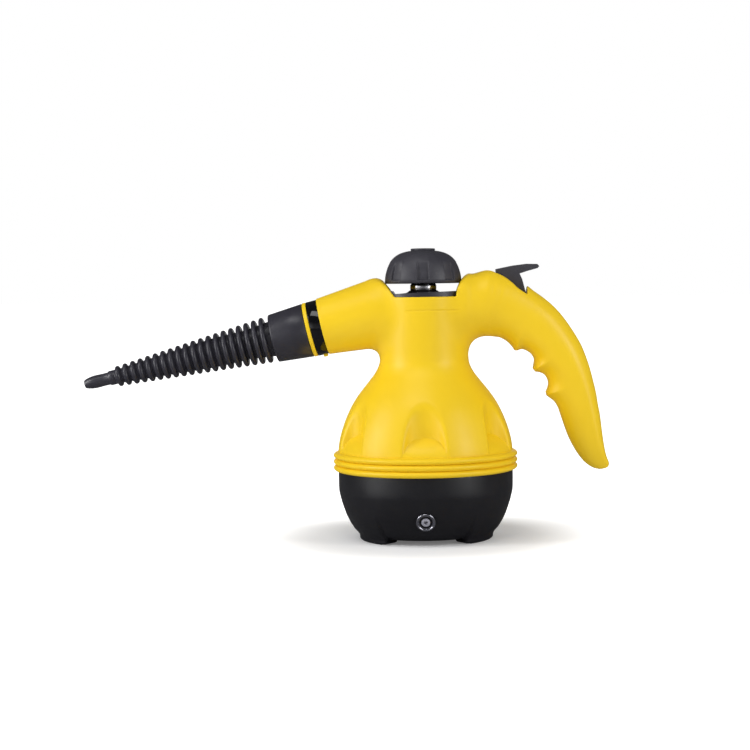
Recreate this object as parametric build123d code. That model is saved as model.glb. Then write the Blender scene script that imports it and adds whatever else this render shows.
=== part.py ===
from build123d import *
import math
import os

# Handheld steam cleaner, in millimetres. The origin is on the floor below the axis of the round tank.
# The nozzle points to -X, the handle to +X, and the front side faces -Y.

# Fits and small common sizes
body_gap = 0.3        # between pieces that move apart
slide_fit = 0.08      # radial, running shafts and plungers
thread_fit = 0.05     # radial, screws in their pilot holes
wall = 2.6            # moulded walls
overrun = 20.0        # how far cutters run past a surface
edge_round = 1.0

# Yellow clamshell: bell, neck, nozzle arm and handle
skirt_radius = 65.9
flange_radius = 69.6
flange_ridges = 3
ridge_pitch = 4.7
ridge_depth = 1.9
skirt_bottom = 52.0
neck_radius = 33.4
neck_start = 137.5
crest_height = 202.0
neck_top_drop = 12.0
deck_drop = 19.8
bell_reach_share = 0.84
bell_shares = [(1.0, 0.0), (0.945, 0.152), (0.652, 0.491), (0.394, 0.66), (0.102, 0.831), (0.0, 1.0)]

dimples = 6
dimple_radius = 16.7
dimple_floor_radius = 50.5
dimple_floor_height = 79.0
dimple_ledge_slope = 33.0
dimple_start_angle = 30.0

nozzle_pitch_angle = 12.9
arm_front_x = -75.3
arm_drop = 41.0
arm_radius = 21.0
arm_rim_step = 1.1
arm_rim_length = 3.0
arm_length = 66.0
arm_root_radius = 28.3

saddle_left = -21.2
saddle_right = 25.0
saddle_left_lean = 10.6
saddle_right_lean = 6.8
saddle_depth = 15.0

handle_reach = 139.0
handle_tip_height = 49.8
handle_half_width = 24.0
# Each row is inner edge x and z, outer edge x and z, and half width, as shares of the sizes above
handle_shares = [
    (0.10, 0.690, 0.10, 0.985, 1.10),
    (0.331, 0.679, 0.331, 1.0, 0.96),
    (0.417, 0.669, 0.525, 0.943, 0.84),
    (0.506, 0.600, 0.709, 0.823, 0.77),
    (0.599, 0.504, 0.845, 0.642, 0.73),
    (0.663, 0.381, 0.919, 0.436, 0.70),
    (0.738, 0.297, 0.947, 0.320, 0.66),
    (0.772, 0.208, 0.963, 0.205, 0.61),
    (0.809, 0.127, 0.974, 0.120, 0.54),
    (0.868, 0.047, 0.991, 0.057, 0.42),
    (0.934, 0.006, 0.999, 0.028, 0.22),
]
# Finger scallops: centre x, centre z and radius, as shares of the reach and the height of the handle
scallop_shares = [(0.5331, 0.5453, 0.0644), (0.6137, 0.4363, 0.0598), (0.6022, 0.2589, 0.1321)]

# The notch behind the crest, in which the trigger stands
notch_start_share = 0.3561
notch_foot_share = 0.5612
notch_depth_share = 0.1262
notch_lip_lean = 1.4
notch_lip_height = 7.7
notch_shares = [(0.42, 0.71), (0.76, 0.27)]

# Black base bowl
bowl_rim_radius = 65.9
bowl_floor_height = 4.2
bowl_floor_radius = 48.6
bowl_wall_height = 43.5
bowl_shares = [(0.0, 0.0), (0.41, 0.153), (0.694, 0.384), (0.873, 0.613), (1.0, 1.0)]
bowl_floor_slope = 0.55
spigot_height = 6.0
spigot_wall = 2.0
feet = 3
foot_outer_radius = 50.4
foot_inner_radius = 36.0
foot_half_angle = 20.5
foot_height = 13.0
pad_thickness = 1.6
pad_proud = 0.5
pad_inset = 2.0
post_circle = 46.0
post_screw_depth = 8.0
lamp_height = 19.5
lamp_circle = 60.4
lamp_tilt = 22.0
lamp_ring_radius = 7.1
lamp_ring_height = 1.3
lamp_ring_seat = 0.9
lamp_body_radius = 5.0
lamp_body_depth = 5.0
lamp_lens_radius = 3.3
lamp_lens_height = 1.6
gland_height = 31.0
gland_circle = 64.2
gland_radius = 8.5
gland_body_radius = 6.0
gland_bore = 3.6
gland_length = 7.0
gland_flange = 2.8
gland_seat = 1.0

# Safety cap
cap_radius = 28.6
cap_lift = 10.1
cap_height = 24.6
cap_wall = 2.4
cap_side_slope = 0.35
cap_crown_slope = 0.05
cap_shares = [(0.979, 0.0), (1.0, 0.12), (0.989, 0.25), (0.941, 0.467), (0.846, 0.683), (0.71, 0.841),
              (0.525, 0.951), (0.31, 1.0)]
cap_flutes = 8
flute_angle = 24.0
flute_depth = 1.2
flute_bottom = 1.9
# Inner side of a flute, as shares of the cap's radius and height
flute_shares = [(0.84, 0.69), (0.93, 0.42)]
button_radius = 8.8
button_height = 2.3
button_dish = 1.2
# Outline of the button, as shares of its radius and height
button_shares = [(0.93, 0.0), (1.0, 0.8), (0.93, 1.0), (0.72, 1.0)]
button_dish_share = 0.5
cap_press_travel = 2.0
plug_depth = 12.0
plug_head_radius = 12.5
plug_head_height = 3.0
stem_radius = 4.5
stem_height = 12.5
cap_boss_wall = 2.2
cap_boss_start = 4.6
seal_thickness = 1.4
seal_radius = 11.0

# Metal filler neck and its collar
filler_radius = 9.2
filler_wall = 1.6
filler_proud = 11.8
collar_rim_radius = 20.8
collar_throat_radius = 10.6
collar_height = 4.6
collar_plate = 2.4
collar_lip = 1.0
flare_shares = (0.25, 0.3)

# Boiler
boiler_radius = 34.0
boiler_wall = 3.0
boiler_bottom = 24.0
boiler_joint = 62.0
boiler_shoulder = 96.0
boiler_deck = 110.0
boiler_deck_radius = 21.0
boiler_top = 118.0
boiler_flange = 40.6
boiler_dome_share = 0.72
bolt_circle = 37.6
flange_plate = 3.5
gasket_thickness = 1.0
lid_bolts = 6
bolt_radius = 1.8
bolt_head_radius = 2.9
bolt_head_height = 2.2
lid_boss_radius = 14.0
bracket_thickness = 1.5
sleeve_thickness = 4.5
sleeve_height = 27.0
element_radius = 27.0
element_width = 8.0
element_height = 5.0
element_gap_angle = 30.0
thermostat_radius = 9.0
thermostat_height = 6.0
fuse_radius = 2.2
fuse_length = 12.0
terminal_length = 20.0
terminal_width = 10.0
terminal_height = 9.0
terminal_place = 30.0

# Trigger and steam valve
# Places in the handle are shares of its reach, measured from the axis, and of its height, down from the crest
trigger_front_share = 0.3928
trigger_tail_share = 0.6273
trigger_proud = 3.9
# Outline from the front round the thumb plate to the notch, as shares of its length and its height
trigger_shares = [(0.0, 0.156), (0.38, 0.052), (0.7, 0.0), (0.957, 0.009), (1.0, 0.082), (0.963, 0.143),
                  (0.736, 0.229), (0.546, 0.312), (0.604, 0.494), (0.647, 0.727), (0.684, 0.93)]
trigger_pivot_shares = (0.4317, 0.1051)
trigger_foot_share = 0.1564
trigger_width = 15.0
trigger_hub_radius = 4.2
pin_radius = 1.6
valve_place_share = 0.5
valve_bottom_share = 0.3154
valve_top_share = 0.2234
valve_radius = 6.5
valve_bore_share = 0.75
plunger_radius = 2.4
plunger_engaged_share = 0.54
plunger_collar = 4.6
rib_plate = 2.4
spring_pocket = 6.0
wire_radius = 0.5
coil_fit = 0.7
coil_pitch = 1.25
pipe_radius = 2.4
pipe_bend = 6.0
pipe_gap = 1.0
pipe_clearance = 3.9
pipe_turn_share = 1.5
pipe_end_share = 2.2
inlet_share = 0.457

# Nozzle, along its own axis from the front rim of the arm
band_length = 9.0
band_radius = 20.8
spigot_radius = 14.0
spigot_length = 30.0
plug_in_arm = 10.0
arm_fit = 0.15
ring_length = 2.8
ring_radius = 20.7
collar_back_radius = 20.4
collar_front_radius = 18.2
collar_front = 39.4
rib_count = 20
rib_pitch = 6.0
rib_first = 45.2
rib_big_radius = 17.5
rib_small_radius = 7.6
rib_thickness = 3.3
rib_shares = (0.82, 0.6)
core_radius = 11.0
core_small_radius = 5.0
core_taper_start = 82.0
nose_share = 0.7
socket_depth = 32.0
cone_bore_big = 8.4
cone_bore_small = 3.1
tip_start = 161.4
tip_end = 186.2
tip_radius = 4.6
tip_end_radius = 2.9
tip_bore = 1.5
tip_neck_radius = 5.5
tip_neck_length = 5.5
tip_taper = 7.0
tip_bulge_shares = (0.93, 0.55)
tip_spigot_length = 6.5
spout_radius = 4.0
spout_bore = 2.6
spout_reach = 14.0
spout_root = 30.0
seal_section = 0.95
seal_groove = 1.0
seal_place = 25.0
catch_width = 4.0
catch_length = 3.4
catch_place = 3.7
catch_proud = 1.8
catch_depth = 4.4
catch_travel = 1.5

# Screws
screw_radius = 1.5
screw_head_radius = 3.0
screw_head_height = 2.0
screw_length = 16.0
boss_radius = 5.0
web_thickness = 2.2
boss_height = 13.0
pilot_share = 0.6
bell_post_share = 0.82
bell_post_height = 18.5
arm_post_place = 29.3
arm_post_drop = 8.5
neck_post_share = 0.78
post_clearance = 4.0
# Screw posts in the handle, as shares of its reach and of its height above the tip
handle_post_shares = [(0.7266, 0.573), (0.8777, 0.1787)]

# Places that follow from the sizes above
neck_top = crest_height - neck_top_drop
deck_height = crest_height - deck_drop
arm_front_z = crest_height - arm_drop
handle_drop = crest_height - handle_tip_height
notch_start = notch_start_share * handle_reach
notch_foot_x = notch_foot_share * handle_reach
notch_foot_z = crest_height - notch_depth_share * handle_drop
notch_lip_x = notch_foot_x + notch_lip_lean
notch_lip_z = notch_foot_z + notch_lip_height
cap_bottom = deck_height + cap_lift
cap_top = cap_bottom + cap_height
filler_top = deck_height + filler_proud
trigger_front_x = trigger_front_share * handle_reach
trigger_tail_x = trigger_tail_share * handle_reach
trigger_top_z = crest_height + trigger_proud
trigger_pivot_x = trigger_pivot_shares[0] * handle_reach
trigger_pivot_z = crest_height - trigger_pivot_shares[1] * handle_drop
trigger_foot_z = crest_height - trigger_foot_share * handle_drop
valve_x = valve_place_share * handle_reach
valve_bottom = crest_height - valve_bottom_share * handle_drop
valve_top = crest_height - valve_top_share * handle_drop
valve_length = valve_top - valve_bottom
inlet_pipe_x = boiler_deck_radius - pipe_radius - pipe_gap
inlet_pipe_z = valve_bottom + inlet_share * valve_length
outlet_pipe_z = inlet_pipe_z + 2 * pipe_radius + pipe_gap
pipe_detour = filler_radius + pipe_radius + pipe_clearance
housing_posts = [
    (-bell_post_share * skirt_radius, skirt_bottom + bell_post_height),
    (bell_post_share * skirt_radius, skirt_bottom + bell_post_height),
    (arm_front_x + arm_post_place, arm_front_z - arm_post_drop),
    (neck_post_share * neck_radius, inlet_pipe_z - pipe_radius - boss_radius - post_clearance),
] + [(u * handle_reach, handle_tip_height + v * handle_drop) for u, v in handle_post_shares]

nozzle_frame = Plane(
    origin=(arm_front_x, 0, arm_front_z),
    x_dir=(0, 1, 0),
    z_dir=(-math.cos(math.radians(nozzle_pitch_angle)), 0, -math.sin(math.radians(nozzle_pitch_angle))),
).location
bracket_top = boiler_joint - flange_plate
plug_head_low = filler_top + 2 * body_gap + seal_thickness
socket_radius = spigot_radius + body_gap + slide_fit
lamp_frame = Plane(
    origin=(0, -lamp_circle, lamp_height), x_dir=(1, 0, 0),
    z_dir=(0, -math.cos(math.radians(lamp_tilt)), -math.sin(math.radians(lamp_tilt))),
).location
gland_frame = Plane(origin=(0, gland_circle, gland_height), x_dir=(1, 0, 0), z_dir=(0, 1, 0)).location


def turned(*edges):
    """Solid turned about the Z axis from edges that close a face in the side plane."""
    return revolve(make_face(Curve() + list(edges)), Axis.Z)


def turned_outline(points):
    """Solid turned about the Z axis from a closed outline of straight lines, as (radius, height)."""
    return revolve(make_face(Polyline(*[(r, 0, z) for r, z in points], close=True)), Axis.Z)


def tube(outer, inner, low, high):
    return turned_outline([(inner, low), (outer, low), (outer, high), (inner, high)])


def rod(radius, low, high):
    return turned_outline([(0, low), (radius, low), (radius, high), (0, high)])


def side_plate(points, width):
    """Plate drawn in the side plane and as wide as given, middle on the side plane."""
    outline = make_face(Polyline(*[(x, 0, z) for x, z in points], close=True))
    return extrude(outline, width / 2, dir=(0, 1, 0), both=True)


def cross_rod(x, z, radius, y_low, y_high):
    """Rod across the object, along Y."""
    length = y_high - y_low
    upright = Cylinder(radius, length, align=(Align.CENTER, Align.CENTER, Align.MIN))
    return Pos(x, y_low, z) * (Rot(-90, 0, 0) * upright)


def dome_arc(radius, low, top):
    """Arc from a rim up to the axis, where it is level."""
    rise = top - low
    bend = (radius**2 + rise**2) / (2 * rise)
    half = math.asin(radius / bend) / 2
    middle = (bend * math.sin(half), 0, top - bend + bend * math.cos(half))
    return ThreePointArc((radius, 0, low), middle, (0, 0, top))


def around(count, first_angle=0):
    return [first_angle + 360 * i / count for i in range(count)]


def fused(solids):
    """Solids of one node, joined where they touch."""
    whole = solids[0]
    for solid in solids[1:]:
        whole += solid
    return whole


def bell(inset):
    """Bell and neck, drawn in by a wall for the inside."""
    low = neck_start - (neck_start - skirt_bottom) * bell_reach_share
    span = skirt_radius - neck_radius
    rise = neck_start - low
    curve = Spline(
        *[(neck_radius - inset + u * span, 0, low + v * rise) for u, v in bell_shares],
        tangents=[(0, 0, 1), (0, 0, 1)],
    )
    start = skirt_bottom - (overrun if inset else 0)
    top = neck_top - inset
    base = Polyline(
        curve @ 0, (skirt_radius - inset, 0, start), (0, 0, start), (0, 0, top), (neck_radius - inset, 0, top),
        curve @ 1,
    )
    return turned(curve, base)


def flange():
    """Three rounded ridges round the bottom of the bell."""
    root = flange_radius - ridge_depth
    ridges = []
    for i in range(flange_ridges):
        low = skirt_bottom + i * ridge_pitch
        high = low + ridge_pitch
        ridges.append(ThreePointArc((root, 0, low), (flange_radius, 0, (low + high) / 2), (root, 0, high)))
    top = skirt_bottom + flange_ridges * ridge_pitch
    back = skirt_radius - wall / 2
    rest = Polyline(
        ridges[-1] @ 1, (skirt_radius, 0, top), (back, 0, top), (back, 0, skirt_bottom), ridges[0] @ 0,
    )
    return turned(*ridges, rest)


def dimple_cutters(grow):
    """Upright scoops round the bell, each ending below on a sloping ledge."""
    reach = dimple_floor_radius + dimple_radius
    column = Pos(reach, 0, dimple_floor_height) * Cylinder(
        dimple_radius + grow, 4 * dimple_radius, align=(Align.CENTER, Align.CENTER, Align.MIN)
    )
    column = Pos(0, 0, -dimple_radius) * column
    ledge = Pos(dimple_floor_radius, 0, dimple_floor_height - grow) * (
        Rot(0, dimple_ledge_slope, 0) * Box(
            6 * dimple_radius, 4 * dimple_radius, 6 * dimple_radius,
            align=(Align.CENTER, Align.CENTER, Align.MIN),
        )
    )
    scoop = column & ledge
    return [Rot(0, 0, angle) * scoop for angle in around(dimples, dimple_start_angle)]


def arm(inset):
    """Cone of the nozzle arm, with a stepped rim in front."""
    rim = arm_radius - inset
    shape = turned_outline([
        (0, 0), (rim, 0), (rim + arm_rim_step, -arm_rim_length), (arm_root_radius - inset, -arm_length),
        (0, -arm_length),
    ])
    if inset:
        shape += rod(rim, -arm_rim_length, overrun)
    return nozzle_frame * shape


def handle(inset):
    """Handle, lofted through ellipses that span from its inner to its outer edge."""
    sections = []
    for inner_x, inner_z, outer_x, outer_z, width in handle_shares:
        low = Vector(inner_x * handle_reach, 0, handle_tip_height + inner_z * handle_drop)
        high = Vector(outer_x * handle_reach, 0, handle_tip_height + outer_z * handle_drop)
        across = high - low
        middle = low + across * 0.5
        ahead = across.cross(Vector(0, 1, 0))
        frame = Plane(origin=middle, x_dir=across.normalized(), z_dir=ahead.normalized())
        half_span = across.length / 2 - inset
        half_width = width * handle_half_width - inset
        if min(half_span, half_width) > inset:
            sections.append(frame * Ellipse(half_span, half_width))
    return loft(sections)


def notch_cutter():
    """Space behind the crest for the trigger, along the whole width."""
    run = notch_foot_x - notch_start
    fall = crest_height - notch_foot_z
    slope = Spline(
        (notch_start, 0, crest_height),
        *[(notch_start + u * run, 0, notch_foot_z + v * fall) for u, v in notch_shares],
        (notch_foot_x, 0, notch_foot_z),
    )
    over = crest_height + overrun
    rest = Polyline(
        slope @ 1, (notch_lip_x, 0, notch_lip_z), (notch_lip_x, 0, over), (notch_start, 0, over), slope @ 0
    )
    face = make_face(Curve() + [slope, rest])
    return extrude(face, skirt_radius, dir=(0, 1, 0), both=True)


def saddle_cutter():
    """Open space over the deck, for the cap, with leaning ends and a round pocket."""
    top = deck_height + saddle_depth
    over = crest_height + 2 * overrun
    wedge = side_plate([
        (saddle_left, deck_height), (saddle_left - saddle_left_lean, top), (-arm_length, top),
        (-arm_length, over), (saddle_right + saddle_right_lean, over),
        (saddle_right + saddle_right_lean, top + wall / 2),
        (saddle_right + saddle_right_lean / 4, deck_height + saddle_depth / 3), (saddle_right, deck_height),
    ], 4 * skirt_radius)
    pocket = rod(cap_radius + 3 * body_gap, deck_height + saddle_depth / 3, over)
    return wedge + pocket


def scallop_cutters(grow):
    return [
        cross_rod(
            u * handle_reach, handle_tip_height + v * handle_drop, radius * handle_drop + grow,
            -skirt_radius, skirt_radius,
        )
        for u, v, radius in scallop_shares
    ]


def housing_outer():
    body = bell(0) + flange() + arm(0) + handle(0)
    for cutter in [saddle_cutter(), notch_cutter()] + dimple_cutters(0) + scallop_cutters(0):
        body -= cutter
    return body


def housing_inner():
    space = bell(wall) + arm(wall) + handle(wall)
    top = deck_height - wall
    wedge = Pos(0, 0, -wall) * saddle_cutter()
    space -= wedge
    space -= side_plate([
        (saddle_left - 2 * wall, top), (saddle_left - saddle_left_lean - 2 * wall, crest_height + 2 * overrun),
        (saddle_right + saddle_right_lean + 2 * wall, crest_height + 2 * overrun),
        (saddle_right + 2 * wall, top),
    ], 4 * skirt_radius)
    space -= Pos(0, 0, -wall) * notch_cutter()
    space -= Pos(wall, 0, -wall) * notch_cutter()
    for cutter in dimple_cutters(wall) + scallop_cutters(wall):
        space -= cutter
    return space


def housing_posts_solid(outer):
    """Screw posts across the clamshell, from one side wall to the other."""
    posts = [cross_rod(x, z, boss_radius, -skirt_radius, skirt_radius) & outer for x, z in housing_posts]
    return fused(posts) - rod(filler_radius + 2 * body_gap, boiler_top, crest_height)


def base_bosses():
    """Bosses that take the screws from below, each on a web from the wall of the bell."""
    low = bracket_top
    bosses = []
    for angle in around(feet, 90):
        boss = Pos(post_circle, 0, 0) * rod(boss_radius, low, low + boss_height)
        web = Pos(post_circle, 0, low) * Box(
            skirt_radius - wall / 2 - post_circle, web_thickness, boss_height,
            align=(Align.MIN, Align.CENTER, Align.MIN),
        )
        pilot = Pos(post_circle, 0, 0) * rod(screw_radius + thread_fit, low, low + boss_height - wall)
        bosses.append(Rot(0, 0, angle) * (boss + web - pilot))
    return fused(bosses)


def trigger_slot():
    width = trigger_width + 4 * body_gap
    left = trigger_front_x - 3 * body_gap
    right = notch_foot_x
    low = notch_foot_z - 3 * wall
    return Pos((left + right) / 2, 0, low) * Box(
        right - left, width, crest_height, align=(Align.CENTER, Align.CENTER, Align.MIN)
    )


def trigger_ears(outer):
    """Two plates inside the notch that carry the trigger pin."""
    plates = []
    offset = trigger_width / 2 + 3 * body_gap + rib_plate / 2
    for side in (-1, 1):
        plate = side_plate([
            (trigger_pivot_x - boss_radius, trigger_pivot_z - boss_radius),
            (trigger_pivot_x + boss_radius, trigger_pivot_z - boss_radius),
            (trigger_pivot_x + boss_radius, crest_height),
            (trigger_pivot_x - boss_radius, crest_height),
        ], rib_plate)
        plates.append(Pos(0, side * offset, 0) * plate)
    return (fused(plates) & outer) - cross_rod(
        trigger_pivot_x, trigger_pivot_z, pin_radius + slide_fit / 2, -neck_radius, neck_radius
    )


def valve_cradle(outer):
    """Plate across the handle below the steam valve."""
    return outer & Pos(valve_x, 0, valve_bottom) * Box(
        2 * valve_radius, 2 * neck_radius, rib_plate, align=(Align.CENTER, Align.CENTER, Align.MAX)
    )


def screw_holes():
    """Head pockets and clearance holes in the rear half, pilot holes in the front half."""
    holes = []
    seat = screw_length / 3
    for x, z in housing_posts:
        holes.append(cross_rod(x, z, screw_head_radius + body_gap, seat, 2 * skirt_radius))
        holes.append(cross_rod(x, z, screw_radius + body_gap, 0, seat))
        holes.append(cross_rod(x, z, screw_radius + thread_fit, -pilot_share * screw_length, 0))
    return holes


def housing():
    outer = housing_outer()
    shell = outer - housing_inner()
    for addition in (housing_posts_solid(outer), base_bosses(), trigger_ears(outer), valve_cradle(outer)):
        shell += addition
    shell -= trigger_slot()
    shell -= rod(filler_radius + body_gap, boiler_top, crest_height)
    for hole in screw_holes():
        shell -= hole
    half_space = Box(
        4 * handle_reach, 2 * skirt_radius, 4 * handle_reach, align=(Align.CENTER, Align.MAX, Align.CENTER)
    )
    return shell & half_space, shell - half_space


def bowl_curve(inset):
    rise = bowl_wall_height - bowl_floor_height - inset
    span = bowl_rim_radius - bowl_floor_radius
    low = bowl_floor_height + inset
    return Spline(
        *[(bowl_floor_radius - inset + u * span, 0, low + v * rise) for u, v in bowl_shares],
        tangents=[(1, 0, bowl_floor_slope), (0, 0, 1)],
    )


def bowl_form(inset, top):
    curve = bowl_curve(inset)
    rest = Polyline(
        curve @ 1, (bowl_rim_radius - inset, 0, top), (0, 0, top), (0, 0, bowl_floor_height + inset), curve @ 0
    )
    return turned(curve, rest)


def foot_sector(inner, outer, low, high, half_angle):
    outline = make_face(
        Polyline((inner, 0, low), (outer, 0, low), (outer, 0, high), (inner, 0, high), close=True)
    )
    return Rot(0, 0, -half_angle) * revolve(outline, Axis.Z, revolution_arc=2 * half_angle)


def base_bowl():
    inside = bowl_form(wall, skirt_bottom + overrun)
    bowl = bowl_form(0, skirt_bottom)
    for angle in around(feet, 90):
        bowl += Rot(0, 0, angle) * foot_sector(
            foot_inner_radius, foot_outer_radius, pad_proud, foot_height, foot_half_angle
        )
    bowl -= inside
    fit = skirt_radius - wall - arm_fit
    bowl += tube(bowl_rim_radius - wall / 2, fit - spigot_wall, skirt_bottom - spigot_height, skirt_bottom)
    bowl += tube(fit, fit - spigot_wall, skirt_bottom - spigot_height, skirt_bottom + spigot_height)
    for angle in around(feet, 90):
        post = Pos(post_circle, 0, 0) * rod(boss_radius, bowl_floor_height, bracket_top - bracket_thickness)
        bowl += Rot(0, 0, angle) * (post & bowl_form(0, skirt_bottom + overrun))
    seat = bracket_top - bracket_thickness - post_screw_depth
    for angle in around(feet, 90):
        bowl -= Rot(0, 0, angle) * (Pos(post_circle, 0, 0) * rod(screw_head_radius + body_gap, -overrun, seat))
        bowl -= Rot(0, 0, angle) * (Pos(post_circle, 0, 0) * rod(screw_radius + body_gap, seat, bracket_top))
        bowl -= Rot(0, 0, angle) * pad_form(0, pad_proud - overrun, pad_thickness)
    bowl -= lamp_frame * rod(lamp_ring_radius + arm_fit, -lamp_ring_seat, overrun)
    bowl -= lamp_frame * rod(lamp_body_radius + arm_fit, -overrun, 0)
    bowl -= gland_frame * rod(gland_radius + arm_fit, -gland_seat, overrun)
    bowl -= gland_frame * rod(gland_body_radius + arm_fit, -overrun, 0)
    return bowl


def pad_form(gap, low, high):
    pad = foot_sector(
        foot_inner_radius + pad_inset, foot_outer_radius - pad_inset / 2, low, high,
        foot_half_angle - math.degrees(pad_inset / foot_outer_radius),
    )
    return pad - Pos(post_circle, 0, 0) * rod(screw_head_radius + body_gap + gap, low - overrun, high + overrun)


def foot_pads():
    return fused([Rot(0, 0, angle) * pad_form(0, 0, pad_thickness) for angle in around(feet, 90)])


def screw(length):
    """Pan head screw standing on its seat at zero, shank downwards."""
    return rod(screw_head_radius, 0, screw_head_height) + rod(screw_radius, -length, 0)


def housing_screws():
    seat = screw_length / 3
    length = seat + screw_length / 2
    return fused([Pos(x, seat, z) * (Rot(-90, 0, 0) * screw(length)) for x, z in housing_posts])


def base_screws():
    seat = bracket_top - bracket_thickness - post_screw_depth
    one = Pos(post_circle, 0, seat) * (Rot(180, 0, 0) * screw(screw_length))
    return fused([Rot(0, 0, angle) * one for angle in around(feet, 90)])


def indicator_bezel():
    ring = turned_outline([
        (lamp_lens_radius + body_gap / 3, -lamp_body_depth), (lamp_body_radius, -lamp_body_depth),
        (lamp_body_radius, -lamp_ring_seat), (lamp_ring_radius, -lamp_ring_seat),
        (lamp_ring_radius, lamp_ring_height / 2), (lamp_ring_radius - edge_round, lamp_ring_height),
        (lamp_lens_radius + edge_round, lamp_ring_height),
        (lamp_lens_radius + body_gap / 3, lamp_ring_height / 2),
    ])
    return lamp_frame * ring


def indicator_lens():
    dome = dome_arc(lamp_lens_radius, lamp_ring_height / 2, lamp_lens_height)
    rest = Polyline(
        dome @ 1, (0, 0, -lamp_body_depth), (lamp_lens_radius, 0, -lamp_body_depth), dome @ 0
    )
    return lamp_frame * turned(dome, rest)


def cord_gland():
    lip = gland_flange - gland_seat
    gland = turned_outline([
        (gland_bore, -gland_length), (gland_body_radius, -gland_length), (gland_body_radius, -gland_seat),
        (gland_radius, -gland_seat), (gland_radius, lip / 2), (gland_radius - lip / 2, lip), (gland_bore, lip),
    ])
    return gland_frame * gland


def boiler_cup():
    top = boiler_joint
    cup = turned_outline([
        (0, boiler_bottom), (boiler_radius, boiler_bottom), (boiler_radius, top - flange_plate),
        (boiler_flange, top - flange_plate), (boiler_flange, top), (boiler_radius - boiler_wall, top),
        (boiler_radius - boiler_wall, boiler_bottom + boiler_wall), (0, boiler_bottom + boiler_wall),
    ])
    return cup - bolt_holes(bolt_radius + thread_fit)


def bolt_holes(radius):
    return fused([
        Rot(0, 0, angle) * (Pos(bolt_circle, 0, 0) * rod(radius, 0, boiler_shoulder))
        for angle in around(lid_bolts, 0)
    ])


def boiler_gasket():
    ring = tube(boiler_flange, boiler_radius - boiler_wall, boiler_joint, boiler_joint + gasket_thickness)
    return ring - bolt_holes(bolt_radius + body_gap / 2)


def shoulder_arc(inset):
    """Rounded shoulder of the boiler, between its side and its deck."""
    side = boiler_radius - inset
    deck = boiler_deck_radius - inset
    rise = boiler_deck - inset - boiler_shoulder
    middle = (deck + boiler_dome_share * (side - deck), 0, boiler_shoulder + boiler_dome_share * rise)
    return ThreePointArc((side, 0, boiler_shoulder), middle, (deck, 0, boiler_shoulder + rise))


def boiler_lid():
    low = boiler_joint + gasket_thickness
    inner = boiler_radius - boiler_wall
    outer_arc = shoulder_arc(0)
    inner_arc = shoulder_arc(boiler_wall)
    bore = filler_radius + thread_fit
    outline = [
        outer_arc,
        Polyline(outer_arc @ 1, (lid_boss_radius, 0, boiler_deck), (lid_boss_radius, 0, boiler_top),
                 (bore, 0, boiler_top), (bore, 0, boiler_deck - boiler_wall), inner_arc @ 1),
        inner_arc,
        Polyline(inner_arc @ 0, (inner, 0, low), (boiler_flange, 0, low),
                 (boiler_flange, 0, low + flange_plate), (boiler_radius, 0, low + flange_plate), outer_arc @ 0),
    ]
    return turned(*outline) - bolt_holes(bolt_radius + body_gap / 2)


def boiler_bolts():
    head = boiler_joint + gasket_thickness + flange_plate
    one = rod(bolt_head_radius, head, head + bolt_head_height) + rod(
        bolt_radius, boiler_joint - flange_plate + body_gap, head
    )
    return fused([Rot(0, 0, angle) * (Pos(bolt_circle, 0, 0) * one) for angle in around(lid_bolts, 0)])


def boiler_bracket():
    low = bracket_top - bracket_thickness
    plate = tube(post_circle - boss_radius / 2, boiler_radius + body_gap, low, bracket_top)
    for angle in around(feet, 90):
        plate += Rot(0, 0, angle) * (Pos(post_circle, 0, 0) * rod(boss_radius, low, bracket_top))
    for angle in around(feet, 90):
        plate -= Rot(0, 0, angle) * (Pos(post_circle, 0, 0) * rod(screw_radius + body_gap, low, bracket_top))
    return plate


def insulation_sleeve():
    low = boiler_joint + gasket_thickness + flange_plate + bolt_head_height + body_gap
    inner = boiler_radius + arm_fit
    return tube(inner + sleeve_thickness, inner, low, low + sleeve_height)


def heating_element():
    outline = make_face(Polyline(
        (element_radius - element_width / 2, 0, boiler_bottom - element_height),
        (element_radius + element_width / 2, 0, boiler_bottom - element_height),
        (element_radius + element_width / 2, 0, boiler_bottom),
        (element_radius - element_width / 2, 0, boiler_bottom), close=True,
    ))
    start = 180 + element_gap_angle / 2
    ring = Rot(0, 0, start) * revolve(outline, Axis.Z, revolution_arc=360 - element_gap_angle)
    for angle in (start, 360 - start):
        pin = Pos(element_radius, 0, 0) * rod(
            element_width / 4, boiler_bottom - 2 * element_height, boiler_bottom - element_height
        )
        inward = -1 if angle < 180 else 1
        ring += Rot(0, 0, angle + inward * math.degrees(element_width / 2 / element_radius)) * pin
    return ring


def thermostat():
    low = boiler_bottom - thermostat_height
    body = rod(thermostat_radius, low + wall, boiler_bottom) + rod(thermostat_radius / 2, low, low + wall)
    return body


def thermal_fuse():
    return Pos(0, -(thermostat_radius + 2 * fuse_radius), boiler_bottom - fuse_radius) * (
        Rot(0, 90, 0) * Cylinder(fuse_radius, fuse_length)
    )


def terminal_block():
    block = Pos(0, terminal_place, bowl_floor_height + wall) * Box(
        terminal_length, terminal_width, terminal_height, align=(Align.CENTER, Align.CENTER, Align.MIN)
    )
    for side in (-1, 0, 1):
        block -= Pos(side * terminal_length / 3, terminal_place, 0) * rod(
            terminal_width / 4, bowl_floor_height + 2 * wall, bowl_floor_height + overrun
        )
    return block


def filler_neck():
    low = boiler_deck - boiler_wall
    return tube(filler_radius, filler_radius - filler_wall, low, filler_top)


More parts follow.
